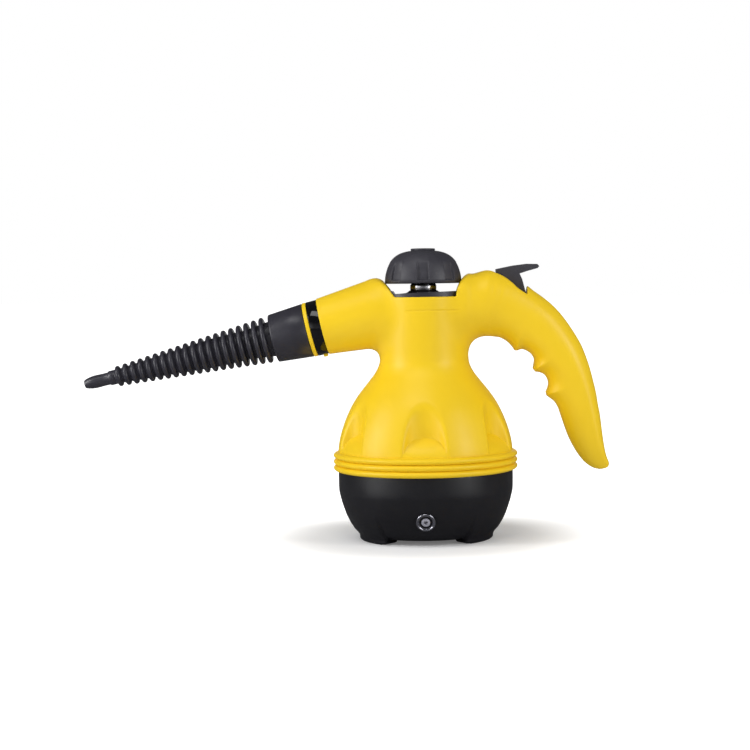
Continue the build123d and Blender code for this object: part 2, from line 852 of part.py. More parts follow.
def deck_collar():
    """Plate over the whole deck, thicker towards the handle, with a flare that closes round the neck."""
    low = deck_height
    top = low + collar_height
    left = saddle_left + body_gap
    right = saddle_right - body_gap
    lip_left = left - saddle_left_lean * collar_height / saddle_depth
    plate = side_plate([
        (left, low), (right, low), (right + saddle_right_lean / 4, top),
        (left + collar_lip, low + collar_plate), (lip_left + collar_lip, top), (lip_left, top),
    ], 2 * neck_radius)
    plate = plate & rod(neck_radius - body_gap, low, top)
    span = collar_rim_radius - collar_throat_radius
    rise = collar_height - collar_plate / 2
    flare = ThreePointArc(
        (collar_rim_radius, 0, top - rise),
        (collar_throat_radius + flare_shares[0] * span, 0, top - rise + flare_shares[1] * rise),
        (collar_throat_radius, 0, top),
    )
    rest = Polyline(flare @ 1, (0, 0, top), (0, 0, low), (collar_rim_radius, 0, low), flare @ 0)
    return plate + turned(flare, rest) - rod(filler_radius + arm_fit, low, top)


def cap_curve(inset):
    points = [(cap_radius * u - inset, 0, cap_bottom + v * (cap_height - inset)) for u, v in cap_shares]
    return Spline(*points, tangents=[(cap_side_slope, 0, 1), (-1, 0, cap_crown_slope)])


def cap_shell():
    outer = cap_curve(0)
    inner = cap_curve(cap_wall)
    roof = cap_top - cap_wall
    bore = stem_radius + slide_fit
    boss = bore + cap_boss_wall
    boss_low = plug_head_low + plug_head_height + cap_boss_start
    bore_top = plug_head_low + plug_head_height + stem_height + cap_press_travel + body_gap
    outline = [
        outer,
        Polyline(outer @ 1, (0, 0, cap_top), (0, 0, bore_top), (bore, 0, bore_top), (bore, 0, boss_low),
                 (boss, 0, boss_low), (boss, 0, roof), inner @ 1),
        inner,
        Polyline(inner @ 0, outer @ 0),
    ]
    shell = turned(*outline)
    for angle in around(cap_flutes, -90):
        shell -= Rot(0, 0, angle - flute_angle / 2) * flute_cutter()
    return shell


def flute_cutter():
    """Sector that sinks one flute into the side of the cap, fading out towards the crown."""
    low = cap_bottom + flute_bottom
    bottom_radius = cap_radius - flute_depth
    inner = [(cap_radius * u, 0, cap_bottom + cap_height * v) for u, v in flute_shares]
    high = inner[0][2]
    outline = make_face(Polyline(
        (bottom_radius, 0, low), (cap_radius + overrun, 0, low), (cap_radius + overrun, 0, high), *inner,
        close=True,
    ))
    return revolve(outline, Axis.Z, revolution_arc=flute_angle)


def cap_button():
    rim = [(button_radius * u, cap_top + button_height * v) for u, v in button_shares]
    dish = cap_top + button_height - button_dish
    return turned_outline([(0, cap_top)] + rim + [(button_radius * button_dish_share, dish), (0, dish)])


def cap_plug():
    top = plug_head_low
    shank = filler_radius - filler_wall - 2 * slide_fit
    return turned_outline([
        (0, filler_top - plug_depth), (shank - edge_round, filler_top - plug_depth),
        (shank, filler_top - plug_depth + edge_round), (shank, top), (plug_head_radius, top),
        (plug_head_radius, top + plug_head_height), (stem_radius, top + plug_head_height),
        (stem_radius, top + plug_head_height + stem_height), (0, top + plug_head_height + stem_height),
    ])


def cap_seal():
    low = filler_top + body_gap
    return tube(seal_radius, filler_radius - filler_wall + body_gap, low, low + seal_thickness)


def coil(shaft_radius, low, high):
    """Spring round an upright shaft, in whole turns."""
    rise = high - low - 2 * wire_radius
    turns = round(rise / coil_pitch)
    path = Pos(0, 0, low + wire_radius) * Helix(rise / turns, rise, shaft_radius + coil_fit + wire_radius)
    section = Plane(origin=path @ 0, z_dir=path % 0) * Circle(wire_radius)
    return sweep(section, path)


def cap_spring():
    low = plug_head_low + plug_head_height
    return coil(stem_radius, low, low + cap_boss_start)


def trigger_outline():
    """Side outline: thumb plate with a tail, rear edge, foot over the valve and the hub below the crest."""
    span = trigger_tail_x - trigger_front_x
    height = trigger_top_z - notch_foot_z
    shown = [(trigger_front_x + u * span, trigger_top_z - v * height) for u, v in trigger_shares]
    hidden = [
        (shown[-1][0], trigger_foot_z), (trigger_pivot_x + trigger_hub_radius, trigger_foot_z),
        (trigger_pivot_x - trigger_hub_radius, trigger_pivot_z),
    ]
    return shown + hidden


def trigger():
    plate = side_plate(trigger_outline(), trigger_width)
    hub = cross_rod(trigger_pivot_x, trigger_pivot_z, trigger_hub_radius, -trigger_width / 2, trigger_width / 2)
    bore = cross_rod(trigger_pivot_x, trigger_pivot_z, pin_radius + slide_fit, -neck_radius, neck_radius)
    pocket = cross_rod(
        trigger_pivot_x, trigger_pivot_z, trigger_hub_radius + body_gap, -spring_pocket / 2, spring_pocket / 2
    )
    return plate + hub - bore - pocket


def trigger_pin():
    half = trigger_width / 2 + 3 * body_gap + rib_plate
    return cross_rod(trigger_pivot_x, trigger_pivot_z, pin_radius, -half, half)


def trigger_spring():
    """Torsion spring round the pin, in the pocket of the hub."""
    half = spring_pocket / 2 - body_gap
    return Pos(trigger_pivot_x, 0, trigger_pivot_z) * (
        Rot(-90, 0, 0) * coil(pin_radius, -half, half)
    )


def valve_body():
    bore_low = valve_top - valve_bore_share * valve_length
    body = rod(valve_radius, valve_bottom, valve_top) - rod(plunger_radius + slide_fit, bore_low, valve_top)
    return Pos(valve_x, 0, 0) * body


def valve_plunger():
    top = trigger_foot_z - body_gap
    collar_top = top - wall
    plunger = rod(plunger_radius, valve_top - plunger_engaged_share * valve_length, top)
    plunger += rod(plunger_collar, collar_top - rib_plate / 2, collar_top)
    return Pos(valve_x, 0, 0) * plunger


def valve_spring():
    high = trigger_foot_z - body_gap - wall - rib_plate / 2
    return Pos(valve_x, 0, 0) * coil(plunger_radius, valve_top, high)


def pipe(points):
    path = FilletPolyline(*points, radius=pipe_bend)
    section = Plane(origin=path @ 0, z_dir=path % 0) * Circle(pipe_radius)
    return sweep(section, path)


def inlet_pipe():
    return pipe([
        (inlet_pipe_x, 0, boiler_deck), (inlet_pipe_x, 0, inlet_pipe_z),
        (valve_x - valve_radius, 0, inlet_pipe_z),
    ])


def along_arm(distance):
    """Point on the axis of the arm, the given distance behind its front rim."""
    angle = math.radians(nozzle_pitch_angle)
    return (arm_front_x + distance * math.cos(angle), 0, arm_front_z + distance * math.sin(angle))


def outlet_pipe():
    turn = pipe_detour + pipe_turn_share * pipe_bend
    return pipe([
        (valve_x - valve_radius, 0, outlet_pipe_z), (turn + pipe_detour, 0, outlet_pipe_z),
        (turn - pipe_bend, -pipe_detour, outlet_pipe_z), (-pipe_detour, -pipe_detour, outlet_pipe_z),
        along_arm(spout_root + pipe_end_share * pipe_bend), along_arm(spout_root),
    ])


def spout_tube():
    return nozzle_frame * tube(spout_radius, spout_bore, -spout_root, spout_reach)


def spout_band():
    plug = arm_radius - wall - arm_fit
    bore = spout_radius + thread_fit
    hollow = spigot_radius - wall
    deep = band_length + 2 * wall
    groove = seal_groove
    body = turned_outline([
        (bore, -plug_in_arm), (plug, -plug_in_arm), (plug, 0), (band_radius, 0), (band_radius, band_length),
        (spigot_radius, band_length), (spigot_radius, seal_place - groove),
        (spigot_radius - 2 * groove, seal_place - groove), (spigot_radius - 2 * groove, seal_place + groove),
        (spigot_radius, seal_place + groove), (spigot_radius, spigot_length), (hollow + groove, spigot_length),
        (hollow + groove - wall / 2, deep + wall), (hollow - wall, deep), (bore, deep),
    ])
    pocket = Pos(0, 0, catch_place) * Box(
        catch_width + 2 * body_gap, 2 * band_radius, catch_length + 2 * body_gap,
        align=(Align.CENTER, Align.MIN, Align.CENTER),
    )
    pocket = Pos(0, band_radius - catch_depth - catch_travel - body_gap, 0) * pocket
    return nozzle_frame * (body - pocket)


def spout_seal():
    section = Plane.XZ * (Pos(spigot_radius - seal_section, seal_place) * Circle(seal_section))
    return nozzle_frame * revolve(section, Axis.Z)


def nozzle_catch():
    depth = catch_depth + catch_proud
    block = Pos(0, band_radius - catch_depth, catch_place) * Box(
        catch_width, depth, catch_length, align=(Align.CENTER, Align.MIN, Align.CENTER)
    )
    rounded = fillet(block.edges().group_by(Axis.Y)[-1], edge_round)
    return nozzle_frame * rounded


def nozzle_ring():
    low = band_length + body_gap
    return nozzle_frame * turned_outline([
        (socket_radius, low), (ring_radius, low), (ring_radius, low + ring_length),
        (socket_radius, low + ring_length),
    ])


def core_at(place):
    """Radius of the cone's core: straight behind the collar, then tapering to the tip."""
    share = max(0, place - core_taper_start) / (tip_start - core_taper_start)
    return core_radius + share * (core_small_radius - core_radius)


def nozzle_cone():
    """Collar, core and its ribs, in one turned outline."""
    back = band_length + 2 * body_gap + ring_length
    shoulder = (collar_front_radius, 0, collar_front - edge_round)
    nose = ThreePointArc(
        shoulder,
        (collar_front_radius - edge_round + nose_share * edge_round, 0,
         collar_front - edge_round + nose_share * edge_round),
        (collar_front_radius - edge_round, 0, collar_front),
    )
    edges = [Polyline((socket_radius, 0, back), (collar_back_radius, 0, back), shoulder), nose]
    last = nose @ 1
    half = rib_thickness / 2
    for i in range(rib_count):
        place = rib_first + i * rib_pitch
        radius = rib_big_radius + i / (rib_count - 1) * (rib_small_radius - rib_big_radius)
        rim = radius - rib_shares[1] * half
        low = (rim, 0, place - rib_shares[0] * half)
        high = (rim, 0, place + rib_shares[0] * half)
        foot = (core_at(place + half), 0, place + half)
        if i == 0:
            edges.append(Line(last, (core_radius, 0, collar_front)))
            last = (core_radius, 0, collar_front)
        edges.append(Polyline(last, (core_at(place - half), 0, place - half), low))
        edges.append(ThreePointArc(low, (radius, 0, place), high))
        edges.append(Line(high, foot))
        last = foot
    edges.append(Polyline(
        last, (core_small_radius, 0, tip_start), (cone_bore_small, 0, tip_start),
        (cone_bore_small, 0, tip_start - 2 * tip_spigot_length), (cone_bore_big, 0, socket_depth + 2 * wall),
        (cone_bore_big, 0, socket_depth), (socket_radius, 0, socket_depth), (socket_radius, 0, back),
    ))
    return nozzle_frame * turned(*edges)


def nozzle_tip():
    low = tip_start
    end = ThreePointArc(
        (tip_radius, 0, tip_end - tip_taper),
        (tip_bulge_shares[0] * tip_radius, 0, tip_end - (1 - tip_bulge_shares[1]) * tip_taper),
        (tip_end_radius, 0, tip_end),
    )
    rest = Polyline(
        end @ 1, (tip_bore, 0, tip_end), (tip_bore, 0, low - tip_spigot_length),
        (cone_bore_small - thread_fit, 0, low - tip_spigot_length), (cone_bore_small - thread_fit, 0, low),
        (tip_neck_radius, 0, low), (tip_neck_radius, 0, low + tip_neck_length - edge_round),
        (tip_radius, 0, low + tip_neck_length), end @ 0,
    )
    return nozzle_frame * turned(end, rest)


def main():
    os.makedirs("parts", exist_ok=True)
    front, rear = housing()
    nodes = {"housing_front": front, "housing_rear": rear}
    for maker in (
        housing_screws, base_bowl, base_screws, foot_pads, indicator_bezel, indicator_lens, cord_gland,
        terminal_block, boiler_cup, boiler_gasket, boiler_lid, boiler_bolts, boiler_bracket, insulation_sleeve,
        heating_element, thermostat, thermal_fuse, filler_neck, deck_collar, cap_shell, cap_button, cap_plug,
        cap_seal, cap_spring, trigger, trigger_pin, trigger_spring, valve_body, valve_plunger, valve_spring,
        inlet_pipe, outlet_pipe, spout_tube, spout_band, spout_seal, nozzle_catch, nozzle_ring, nozzle_cone,
        nozzle_tip,
    ):
        nodes[maker.__name__] = maker()
    for name, shape in nodes.items():
        export_step(shape, f"parts/{name}.step")


main()
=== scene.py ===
import math

import bpy
import numpy as np
from mathutils import Matrix, Vector


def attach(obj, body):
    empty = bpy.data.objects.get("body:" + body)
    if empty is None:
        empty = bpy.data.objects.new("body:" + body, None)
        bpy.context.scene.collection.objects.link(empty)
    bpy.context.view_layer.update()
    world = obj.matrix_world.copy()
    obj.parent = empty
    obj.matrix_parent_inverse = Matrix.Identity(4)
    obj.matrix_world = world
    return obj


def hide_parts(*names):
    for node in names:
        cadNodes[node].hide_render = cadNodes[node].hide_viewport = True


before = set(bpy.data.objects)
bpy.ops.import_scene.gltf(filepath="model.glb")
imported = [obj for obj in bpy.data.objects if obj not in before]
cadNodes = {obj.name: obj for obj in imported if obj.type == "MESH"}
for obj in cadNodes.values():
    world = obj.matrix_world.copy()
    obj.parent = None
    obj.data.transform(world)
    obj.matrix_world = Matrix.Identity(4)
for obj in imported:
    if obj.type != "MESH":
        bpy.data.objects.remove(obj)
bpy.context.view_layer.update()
print("frame loaded:", len(cadNodes), "CAD nodes")

millimetre = 0.001
farAway, tiny = 1e9, 1e-9  # beyond every shape, and too little to count
sceneCollection = bpy.context.scene.collection


# Shapes drawn as a signed distance in millimetres: below zero is inside the moulding.

def blendMin(a, b, reach):  # union with a fillet
    share = np.maximum(reach - np.abs(a - b), 0) / reach
    return np.minimum(a, b) - share * share * reach / 4


def blendMax(a, b, reach):  # cut or overlap with a rounded edge
    return -blendMin(-a, -b, reach)


def stepShare(value, low, high):
    t = np.clip((value - low) / (high - low), 0, 1)
    return t * t * (3 - 2 * t)


def smoothLine(points, parts=4):  # a smooth curve through all the points, as closer points
    p = np.array(points, float)
    p = np.vstack([2 * p[0] - p[1], p, 2 * p[-1] - p[-2]])
    t = np.linspace(0, 1, parts, endpoint=False)[:, None]
    runs = []
    for a, b, c, d in zip(p[:-3], p[1:-2], p[2:-1], p[3:]):
        bend = 2 * a - 5 * b + 4 * c - d + t * (3 * (b - c) + d - a)
        runs.append(b + 0.5 * t * (c - a + t * bend))
    return np.vstack(runs + [p[-2:-1]])


def alongLine(line, x, z, extra=None):
    # signed distance to an open line, positive on its left, and extra's values at its nearest point
    best = np.full(np.broadcast(x, z).shape, farAway)
    signed = best.copy()
    told = None if extra is None else np.zeros(best.shape + (extra.shape[1],))
    for i in range(len(line) - 1):
        ax, az = line[i, :2]
        dx, dz = line[i + 1, :2] - line[i, :2]
        size = math.hypot(dx, dz)
        t = np.clip(((x - ax) * dx + (z - az) * dz) / size**2, 0, 1)
        away = np.hypot(x - ax - t * dx, z - az - t * dz)
        side = (dx * (z - az) - dz * (x - ax)) / size
        level = (away < best + tiny) & (np.abs(side) > np.abs(signed))
        nearer = (away < best - tiny) | level
        best = np.where(nearer, away, best)
        signed = np.where(nearer, np.sign(side) * away, signed)
        if told is not None:
            here = extra[i] + t[..., None] * (extra[i + 1] - extra[i])
            told = np.where(nearer[..., None], here, told)
    return signed, told


def crossings(field, points, ends, steps):
    # where the field is zero between each point and its end
    low, high = points, ends
    lowValue, highValue = field(*low.T), field(*high.T)
    for i in range(steps):
        share = lowValue / (lowValue - highValue)
        share = np.clip(share, 0.02, 0.98)[:, None]  # off both ends, so that each step gains
        middle = low + share * (high - low)
        value = field(*middle.T)
        same = np.sign(value) == np.sign(lowValue)
        low, lowValue = np.where(same[:, None], middle, low), np.where(same, value, lowValue)
        high, highValue = np.where(same[:, None], high, middle), np.where(same, highValue, value)
    share = (lowValue / (lowValue - highValue))[:, None]
    return low + share * (high - low)


def slopes(field, points, reach):
    result = np.empty_like(points)
    for k in range(3):
        shift = np.zeros(3)
        shift[k] = reach
        result[:, k] = field(*(points + shift).T) - field(*(points - shift).T)
    return result / np.maximum(np.linalg.norm(result, axis=1, keepdims=True), tiny)


def contour(field, axes, pull=0.04, steps=3, reach=0.08):
    # one corner in each cell that the surface crosses, placed by the slopes round it, so that edges
    # stay crisp; pull draws it to the middle, and reach is how far apart slopes are read
    x, y, z = axes
    value = field(x[:, None, None], y[None, :, None], z[None, None, :])
    value = np.where(np.abs(value) < 1e-7, 1e-7, value)  # never quite zero
    inside = value < 0
    shape = np.array(value.shape)
    strides = np.array([shape[1] * shape[2], shape[2], 1])
    gathered, quads = [], []
    for k in range(3):
        ahead = [slice(None)] * 3
        behind = [slice(None)] * 3
        ahead[k], behind[k] = slice(1, None), slice(None, -1)
        flips = np.argwhere(inside[tuple(behind)] != inside[tuple(ahead)])
        others = [m for m in range(3) if m != k]
        keep = np.all([(flips[:, m] > 0) & (flips[:, m] < shape[m] - 1) for m in others], axis=0)
        flips = flips[keep]
        ends = flips.copy()
        ends[:, k] += 1
        start = np.stack([axes[m][flips[:, m]] for m in range(3)], 1)
        stop = np.stack([axes[m][ends[:, m]] for m in range(3)], 1)
        points = crossings(field, start, stop, steps)
        normals = slopes(field, points, reach)
        base = flips @ strides
        a, b = strides[others[0]], strides[others[1]]
        ring = np.stack([base - a - b, base - b, base, base - a], 1)
        leaving = inside[tuple(flips.T)]
        turn = leaving if k != 1 else ~leaving
        quads.append(np.where(turn[:, None], ring, ring[:, ::-1]))
        gathered += [(ring[:, m], points, normals) for m in range(4)]
    cells, points, normals = (np.concatenate(part) for part in zip(*gathered))
    used, place = np.unique(cells, return_inverse=True)
    count = np.bincount(place)
    middle = np.stack([np.bincount(place, points[:, m]) / count for m in range(3)], 1)
    away = np.einsum("ij,ij->i", normals, points - middle[place])
    pulls = np.zeros((len(used), 3, 3))
    pushes = np.zeros((len(used), 3))
    for m in range(3):
        pushes[:, m] = np.bincount(place, normals[:, m] * away)
        for n in range(3):
            pulls[:, m, n] = np.bincount(place, normals[:, m] * normals[:, n])
    pulls += pull * np.eye(3)
    corners = middle + np.linalg.solve(pulls, pushes[:, :, None])[:, :, 0]
    index = np.stack(np.unravel_index(used, shape), 1)
    low = np.stack([axes[m][index[:, m]] for m in range(3)], 1)
    high = np.stack([axes[m][np.minimum(index[:, m] + 1, shape[m] - 1)] for m in range(3)], 1)
    corners = np.clip(corners, low, high)
    faces = np.searchsorted(used, np.concatenate(quads))
    return corners, faces


def evenAxis(low, high, step):
    return np.linspace(low, high, int(math.ceil((high - low) / step)) + 1)


def newPiece(name, corners, faces, body, slot, material, stands=(), smoothAngle=50):
    places = (np.asarray(corners) * millimetre).tolist()
    mesh = bpy.data.meshes.new(name)
    mesh.from_pydata(places, [], [list(map(int, f)) for f in faces])
    mesh.validate()
    mesh.update()
    mesh.polygons.foreach_set("use_smooth", [True] * len(mesh.polygons))
    mesh.set_sharp_from_angle(angle=math.radians(smoothAngle))
    mesh.materials.append(material)
    piece = bpy.data.objects.new(name, mesh)
    sceneCollection.objects.link(piece)
    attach(piece, body)
    if stands:
        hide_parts(*stands)
    return piece


def turnedLoop(loop, angle):  # a loop of radius and height, at its place round the axis
    return np.stack([loop[:, 0] * math.cos(angle), loop[:, 0] * math.sin(angle), loop[:, 1]], 1)


def stitched(count, parts, loops):  # faces between neighbouring loops of count corners each
    faces = []
    for i in range(parts):
        a, b = i * count, (i + 1) % loops * count
        for j in range(count):
            k = (j + 1) % count
            faces.append((a + j, b + j, b + k, a + k))
    return faces


def turnedMesh(profile, parts, arc=None):
    # turns a closed profile of radius and height; a whole turn, or the arc between two angles
    profile = np.array(profile, float)
    count = len(profile)
    if arc is None:
        angles = 2 * math.pi * np.arange(parts) / parts
    else:
        angles = np.radians(np.linspace(arc[0], arc[1], parts + 1))
    faces = stitched(count, parts, len(angles))
    if arc is not None:
        faces.append(tuple(reversed(range(count))))
        faces.append(tuple(range(parts * count, (parts + 1) * count)))
    return np.vstack([turnedLoop(profile, a) for a in angles]), faces


def turnedSolid(profile, parts):  # a profile that starts and ends on the axis, closed there
    side = [p for p in profile if p[0] > 0]
    corners, faces = turnedMesh(side, parts)
    count = len(side)
    low, high = len(corners), len(corners) + 1
    corners = np.vstack([corners, [(0, 0, profile[0][1]), (0, 0, profile[-1][1])]])
    kept = [f for i, f in enumerate(faces) if i % count != count - 1]
    for i in range(parts):
        a, b = i * count, (i + 1) % parts * count
        kept.append((low, b, a))
        kept.append((high, a + count - 1, b + count - 1))
    return corners, kept


def joined(*meshes):
    corners, faces, start = [], [], 0
    for points, polygons in meshes:
        corners.append(np.asarray(points))
        faces += [tuple(int(c) + start for c in f) for f in polygons]
        start += len(points)
    return np.vstack(corners), faces


# Materials

colourA, colourB, mixed = 6, 7, 2  # the colour sockets of a Mix node
rangeSockets = ("From Min", "From Max", "To Min", "To Max")


def linearColour(code):
    values = [int(code[i:i + 2], 16) / 255 for i in (1, 3, 5)]
    return [v / 12.92 if v <= 0.04045 else ((v + 0.055) / 1.055) ** 2.4 for v in values] + [1]


def addNode(tree, kind, values={}, links={}, **settings):
    # a link comes from an output, or from a node, whose first output is meant
    node = tree.nodes.new("ShaderNode" + kind)
    for name, value in settings.items():
        setattr(node, name, value)
    for name, value in values.items():
        node.inputs[name].default_value = value
    for name, source in links.items():
        source = source.outputs[0] if hasattr(source, "outputs") else source
        tree.links.new(source, node.inputs[name])
    return node


def newMaterial(name, roughness, ior=None, metallic=0):
    material = bpy.data.materials.new(name)
    material.use_nodes = True
    shader = material.node_tree.nodes["Principled BSDF"]
    shader.inputs["Roughness"].default_value = roughness
    shader.inputs["Metallic"].default_value = metallic
    if ior:
        shader.inputs["IOR"].default_value = ior
    return material, material.node_tree, shader


# Sizes in millimetres: flow is how far the tone drifts with the melt, grain is the mould's etched
# texture, depth is its relief, and smear is where hands and packing have polished it. The real
# grain is 0.3 to 0.5, too fine to show, so it is drawn two to four times coarser. Shine is the
# specular level, 0.5 or less where the skin is dry, and the last value is how much of a painted
# highlight, a paler tone, shows along convex edges.
plastics = {
    # ABS moulded in an etched tool: satin, an even warm yellow, a little deeper where it is thick
    "mouldedYellowAbs": {
        "light": "#F6D022", "deep": "#EEC513", "shine": 0.3, "ior": 1.54, "smooth": 0.33,
        "rough": 0.47, "flow": 38, "grain": 1.1, "depth": 0.012, "smear": 21, "edges": 0.25},
    # the same ABS with carbon black: satin, soft grey sheen where a lamp is mirrored
    "mouldedBlackAbs": {
        "light": "#17171C", "deep": "#121217", "shine": 0.5, "ior": 1.54, "smooth": 0.30,
        "rough": 0.44, "flow": 30, "grain": 1.2, "depth": 0.014, "smear": 17, "edges": 0.10},
    # glass filled nylon: duller and greyer, with a slightly dry, speckled skin
    "mouldedGreyNylon": {
        "light": "#3F3E45", "deep": "#333239", "shine": 0.4, "ior": 1.53, "smooth": 0.40,
        "rough": 0.56, "flow": 12, "grain": 0.9, "depth": 0.016, "smear": 14, "edges": 0.15},
    # polypropylene: waxy dark grey with a broad, faintly violet sheen
    "mouldedBlackPolypropylene": {
        "light": "#35343C", "deep": "#28272F", "shine": 0.5, "ior": 1.49, "smooth": 0.30,
        "rough": 0.42, "flow": 18, "grain": 1, "depth": 0.010, "smear": 12, "edges": 0.12},
    # ABS from a polished tool: deep black gloss, mirror clear but for a slight ripple of the melt
    "polishedBlackAbs": {
        "light": "#0E0E11", "deep": "#08080A", "shine": 0.5, "ior": 1.54, "smooth": 0.05,
        "rough": 0.12, "flow": 20, "grain": 5, "depth": 0.006, "smear": 9, "edges": 0},
    # moulded silicone: dull, dark and slightly dusty
    "mouldedSiliconeRubber": {
        "light": "#1E1E20", "deep": "#141416", "shine": 0.5, "ior": 1.41, "smooth": 0.62,
        "rough": 0.82, "flow": 8, "grain": 0.8, "depth": 0.02, "smear": 6, "edges": 0},
    # frosted polycarbonate over an unlit lamp: grey, glassy skin
    "frostedPolycarbonate": {
        "light": "#A6A6B0", "deep": "#8C8C98", "shine": 0.5, "ior": 1.58, "smooth": 0.12,
        "rough": 0.22, "flow": 3, "grain": 0.9, "depth": 0.01, "smear": 3, "edges": 0},
}
# Painted highlight along convex edges: the pointiness where it starts and is full, and how much
# paler its colour is
edgeHighlight = {"pointiness": (0.53, 0.62), "times": 1.5, "plus": 0.02}

# Sizes in millimetres: grain is how long a tool mark or speck is along X, Y and Z, depth its relief
# and cloud how far the tone drifts. Marks of turning and drawing are 0.05 to 0.1 apart in reality,
# specks of cast and plated skins 0.1 to 0.3; both are drawn near 0.6 to 1.5, where they still read.
metals = {
    # stainless neck, turned and bright plated: sharp streaks of light, fine rings round it
    "turnedPlatedSteel": {"light": "#D9D9DD", "deep": "#B4B4BC", "smooth": 0.18, "rough": 0.30,
                          "grain": (30, 30, 0.6), "depth": 0.004},
    # vacuum silvered ring: bright, slightly soft
    "silveredPlastic": {"light": "#C6C6CF", "deep": "#A9A9B4", "smooth": 0.16, "rough": 0.30,
                        "grain": (1.5, 1.5, 1.5), "depth": 0.004},
    # zinc plated steel: cool grey with a dull, cloudy shine
    "zincPlatedSteel": {"light": "#C3C6CC", "deep": "#9DA1AA", "smooth": 0.24, "rough": 0.42,
                        "grain": (1.2, 1.2, 1.2), "depth": 0.01},
    # die cast aluminium: pale grey, sandy skin as it left the mould
    "castAluminium": {"light": "#C9CACC", "deep": "#A7A9AD", "smooth": 0.42, "rough": 0.60,
                      "grain": (1, 1, 1), "depth": 0.03},
    # turned brass: warm yellow, fine rings
    "turnedBrass": {"light": "#D2AC5A", "deep": "#B48B3C", "smooth": 0.20, "rough": 0.36,
                    "grain": (12, 12, 0.6), "depth": 0.006},
    # drawn copper tube: reddish, long faint streaks, slightly browned
    "drawnCopper": {"light": "#CB8461", "deep": "#A55F41", "smooth": 0.24, "rough": 0.42,
                    "grain": (6, 6, 1.5), "depth": 0.006},
}
cloud = 8
noiseSpan = (0.3, 0.7)  # nearly all of a noise lies between these


def twoTones(finish):
    return {colourA: linearColour(finish["deep"]), colourB: linearColour(finish["light"])}


def skinned(tree, shader, finish, tone, grain, smear=None):
    # the tone as it is, the grain as relief, and a shine that changes with the smear
    relief = addNode(tree, "Bump", {"Distance": finish["depth"] * millimetre}, {"Height": grain})
    tree.links.new(tone.outputs[mixed], shader.inputs["Base Color"])
    tree.links.new(relief.outputs[0], shader.inputs["Normal"])
    if smear:
        spread = dict(zip(rangeSockets, (*noiseSpan, finish["smooth"], finish["rough"])))
        dull = addNode(tree, "MapRange", spread, {"Value": smear})
        tree.links.new(dull.outputs[0], shader.inputs["Roughness"])


def cameraRays(tree):  # 1 where the camera looks, straight or through something clear
    path = addNode(tree, "LightPath").outputs
    rays = {0: path["Is Camera Ray"], 1: path["Is Transmission Ray"]}
    return addNode(tree, "Math", {}, rays, operation="MAXIMUM"), path["Is Glossy Ray"]


finishes = {}
for name, finish in plastics.items():
    finishes[name], tree, shader = newMaterial(name, finish["smooth"], finish["ior"])
    shader.inputs["Specular IOR Level"].default_value = finish["shine"]
    spot = {"Vector": addNode(tree, "TexCoord").outputs["Object"]}
    flow = addNode(tree, "TexNoise", {"Scale": 1000 / finish["flow"], "Detail": 3}, spot)
    tone = addNode(tree, "Mix", twoTones(finish), {0: flow}, data_type="RGBA")
    if finish["edges"]:  # convex edges get a painted highlight, a paler tone
        shape = addNode(tree, "NewGeometry")
        spread = dict(zip(rangeSockets, (*edgeHighlight["pointiness"], 0, finish["edges"])))
        edgeHighlightMask = addNode(tree, "MapRange", spread, {"Value": shape.outputs["Pointiness"]})
        highlightTone = [min(1, edgeHighlight["times"] * v + edgeHighlight["plus"])
                for v in linearColour(finish["light"])[:3]] + [1]
        tone = addNode(tree, "Mix", {colourB: highlightTone}, {0: edgeHighlightMask, colourA: tone.outputs[mixed]},
                       data_type="RGBA")
    smear = addNode(tree, "TexNoise", {"Scale": 1000 / finish["smear"], "Detail": 5,
                                       "Roughness": 0.62}, spot)
    grain = addNode(tree, "TexNoise", {"Scale": 1000 / finish["grain"], "Detail": 2}, spot)
    skinned(tree, shader, finish, tone, grain, smear)
for name, finish in metals.items():
    finishes[name], tree, shader = newMaterial(name, finish["smooth"], metallic=1)
    spot = {"Vector": addNode(tree, "TexCoord").outputs["Object"]}
    drawn = addNode(tree, "Mapping", {"Scale": [1000 / size for size in finish["grain"]]}, spot)
    marks = addNode(tree, "TexNoise", {"Scale": 1, "Detail": 3}, {"Vector": drawn})
    drift = addNode(tree, "TexNoise", {"Scale": 1000 / cloud, "Detail": 3}, spot)
    tone = addNode(tree, "Mix", twoTones(finish), {0: drift}, data_type="RGBA")
    skinned(tree, shader, finish, tone, marks, marks)
(yellowAbs, blackAbs, greyNylon, blackPolypropylene, glossBlack, rubber, frosted,
 plating, silvering, zincSteel, aluminium, brass, copper) = finishes.values()  # in their order

# Woven glass fibre: cream yarns over and under, with a dry, slightly shiny nap. The real yarns are
# 1.6 mm apart and are drawn at 5, where they still show; a wave node gives 3.2 bands for each unit
# of its scale.
sleeve = {"yarn": 5, "bands": 3.2, "waver": 0.6, "depth": 0.25, "light": "#DDD6BF",
          "deep": "#A69E86", "rough": 0.72, "ior": 1.5, "sheen": 0.2}
wovenGlassFibre, tree, shader = newMaterial("wovenGlassFibre", sleeve["rough"], sleeve["ior"])
shader.inputs["Sheen Weight"].default_value = sleeve["sheen"]
spot = {"Vector": addNode(tree, "TexCoord").outputs["Object"]}
yarn = {"Scale": 1000 / sleeve["yarn"] / sleeve["bands"], "Distortion": sleeve["waver"]}
yarns = [addNode(tree, "TexWave", yarn, spot, bands_direction=way).outputs[1] for way in "XYZ"]
across = addNode(tree, "Math", {}, {0: yarns[0], 1: yarns[1]}, operation="MAXIMUM")
weave = addNode(tree, "Math", {}, {0: across, 1: yarns[2]}, operation="MULTIPLY")
tone = addNode(tree, "Mix", twoTones(sleeve), {0: weave}, data_type="RGBA")
skinned(tree, shader, sleeve, tone, weave)
print("materials:", len(finishes) + 1)

# Housing: bell, neck, arm and handle in one flowing form

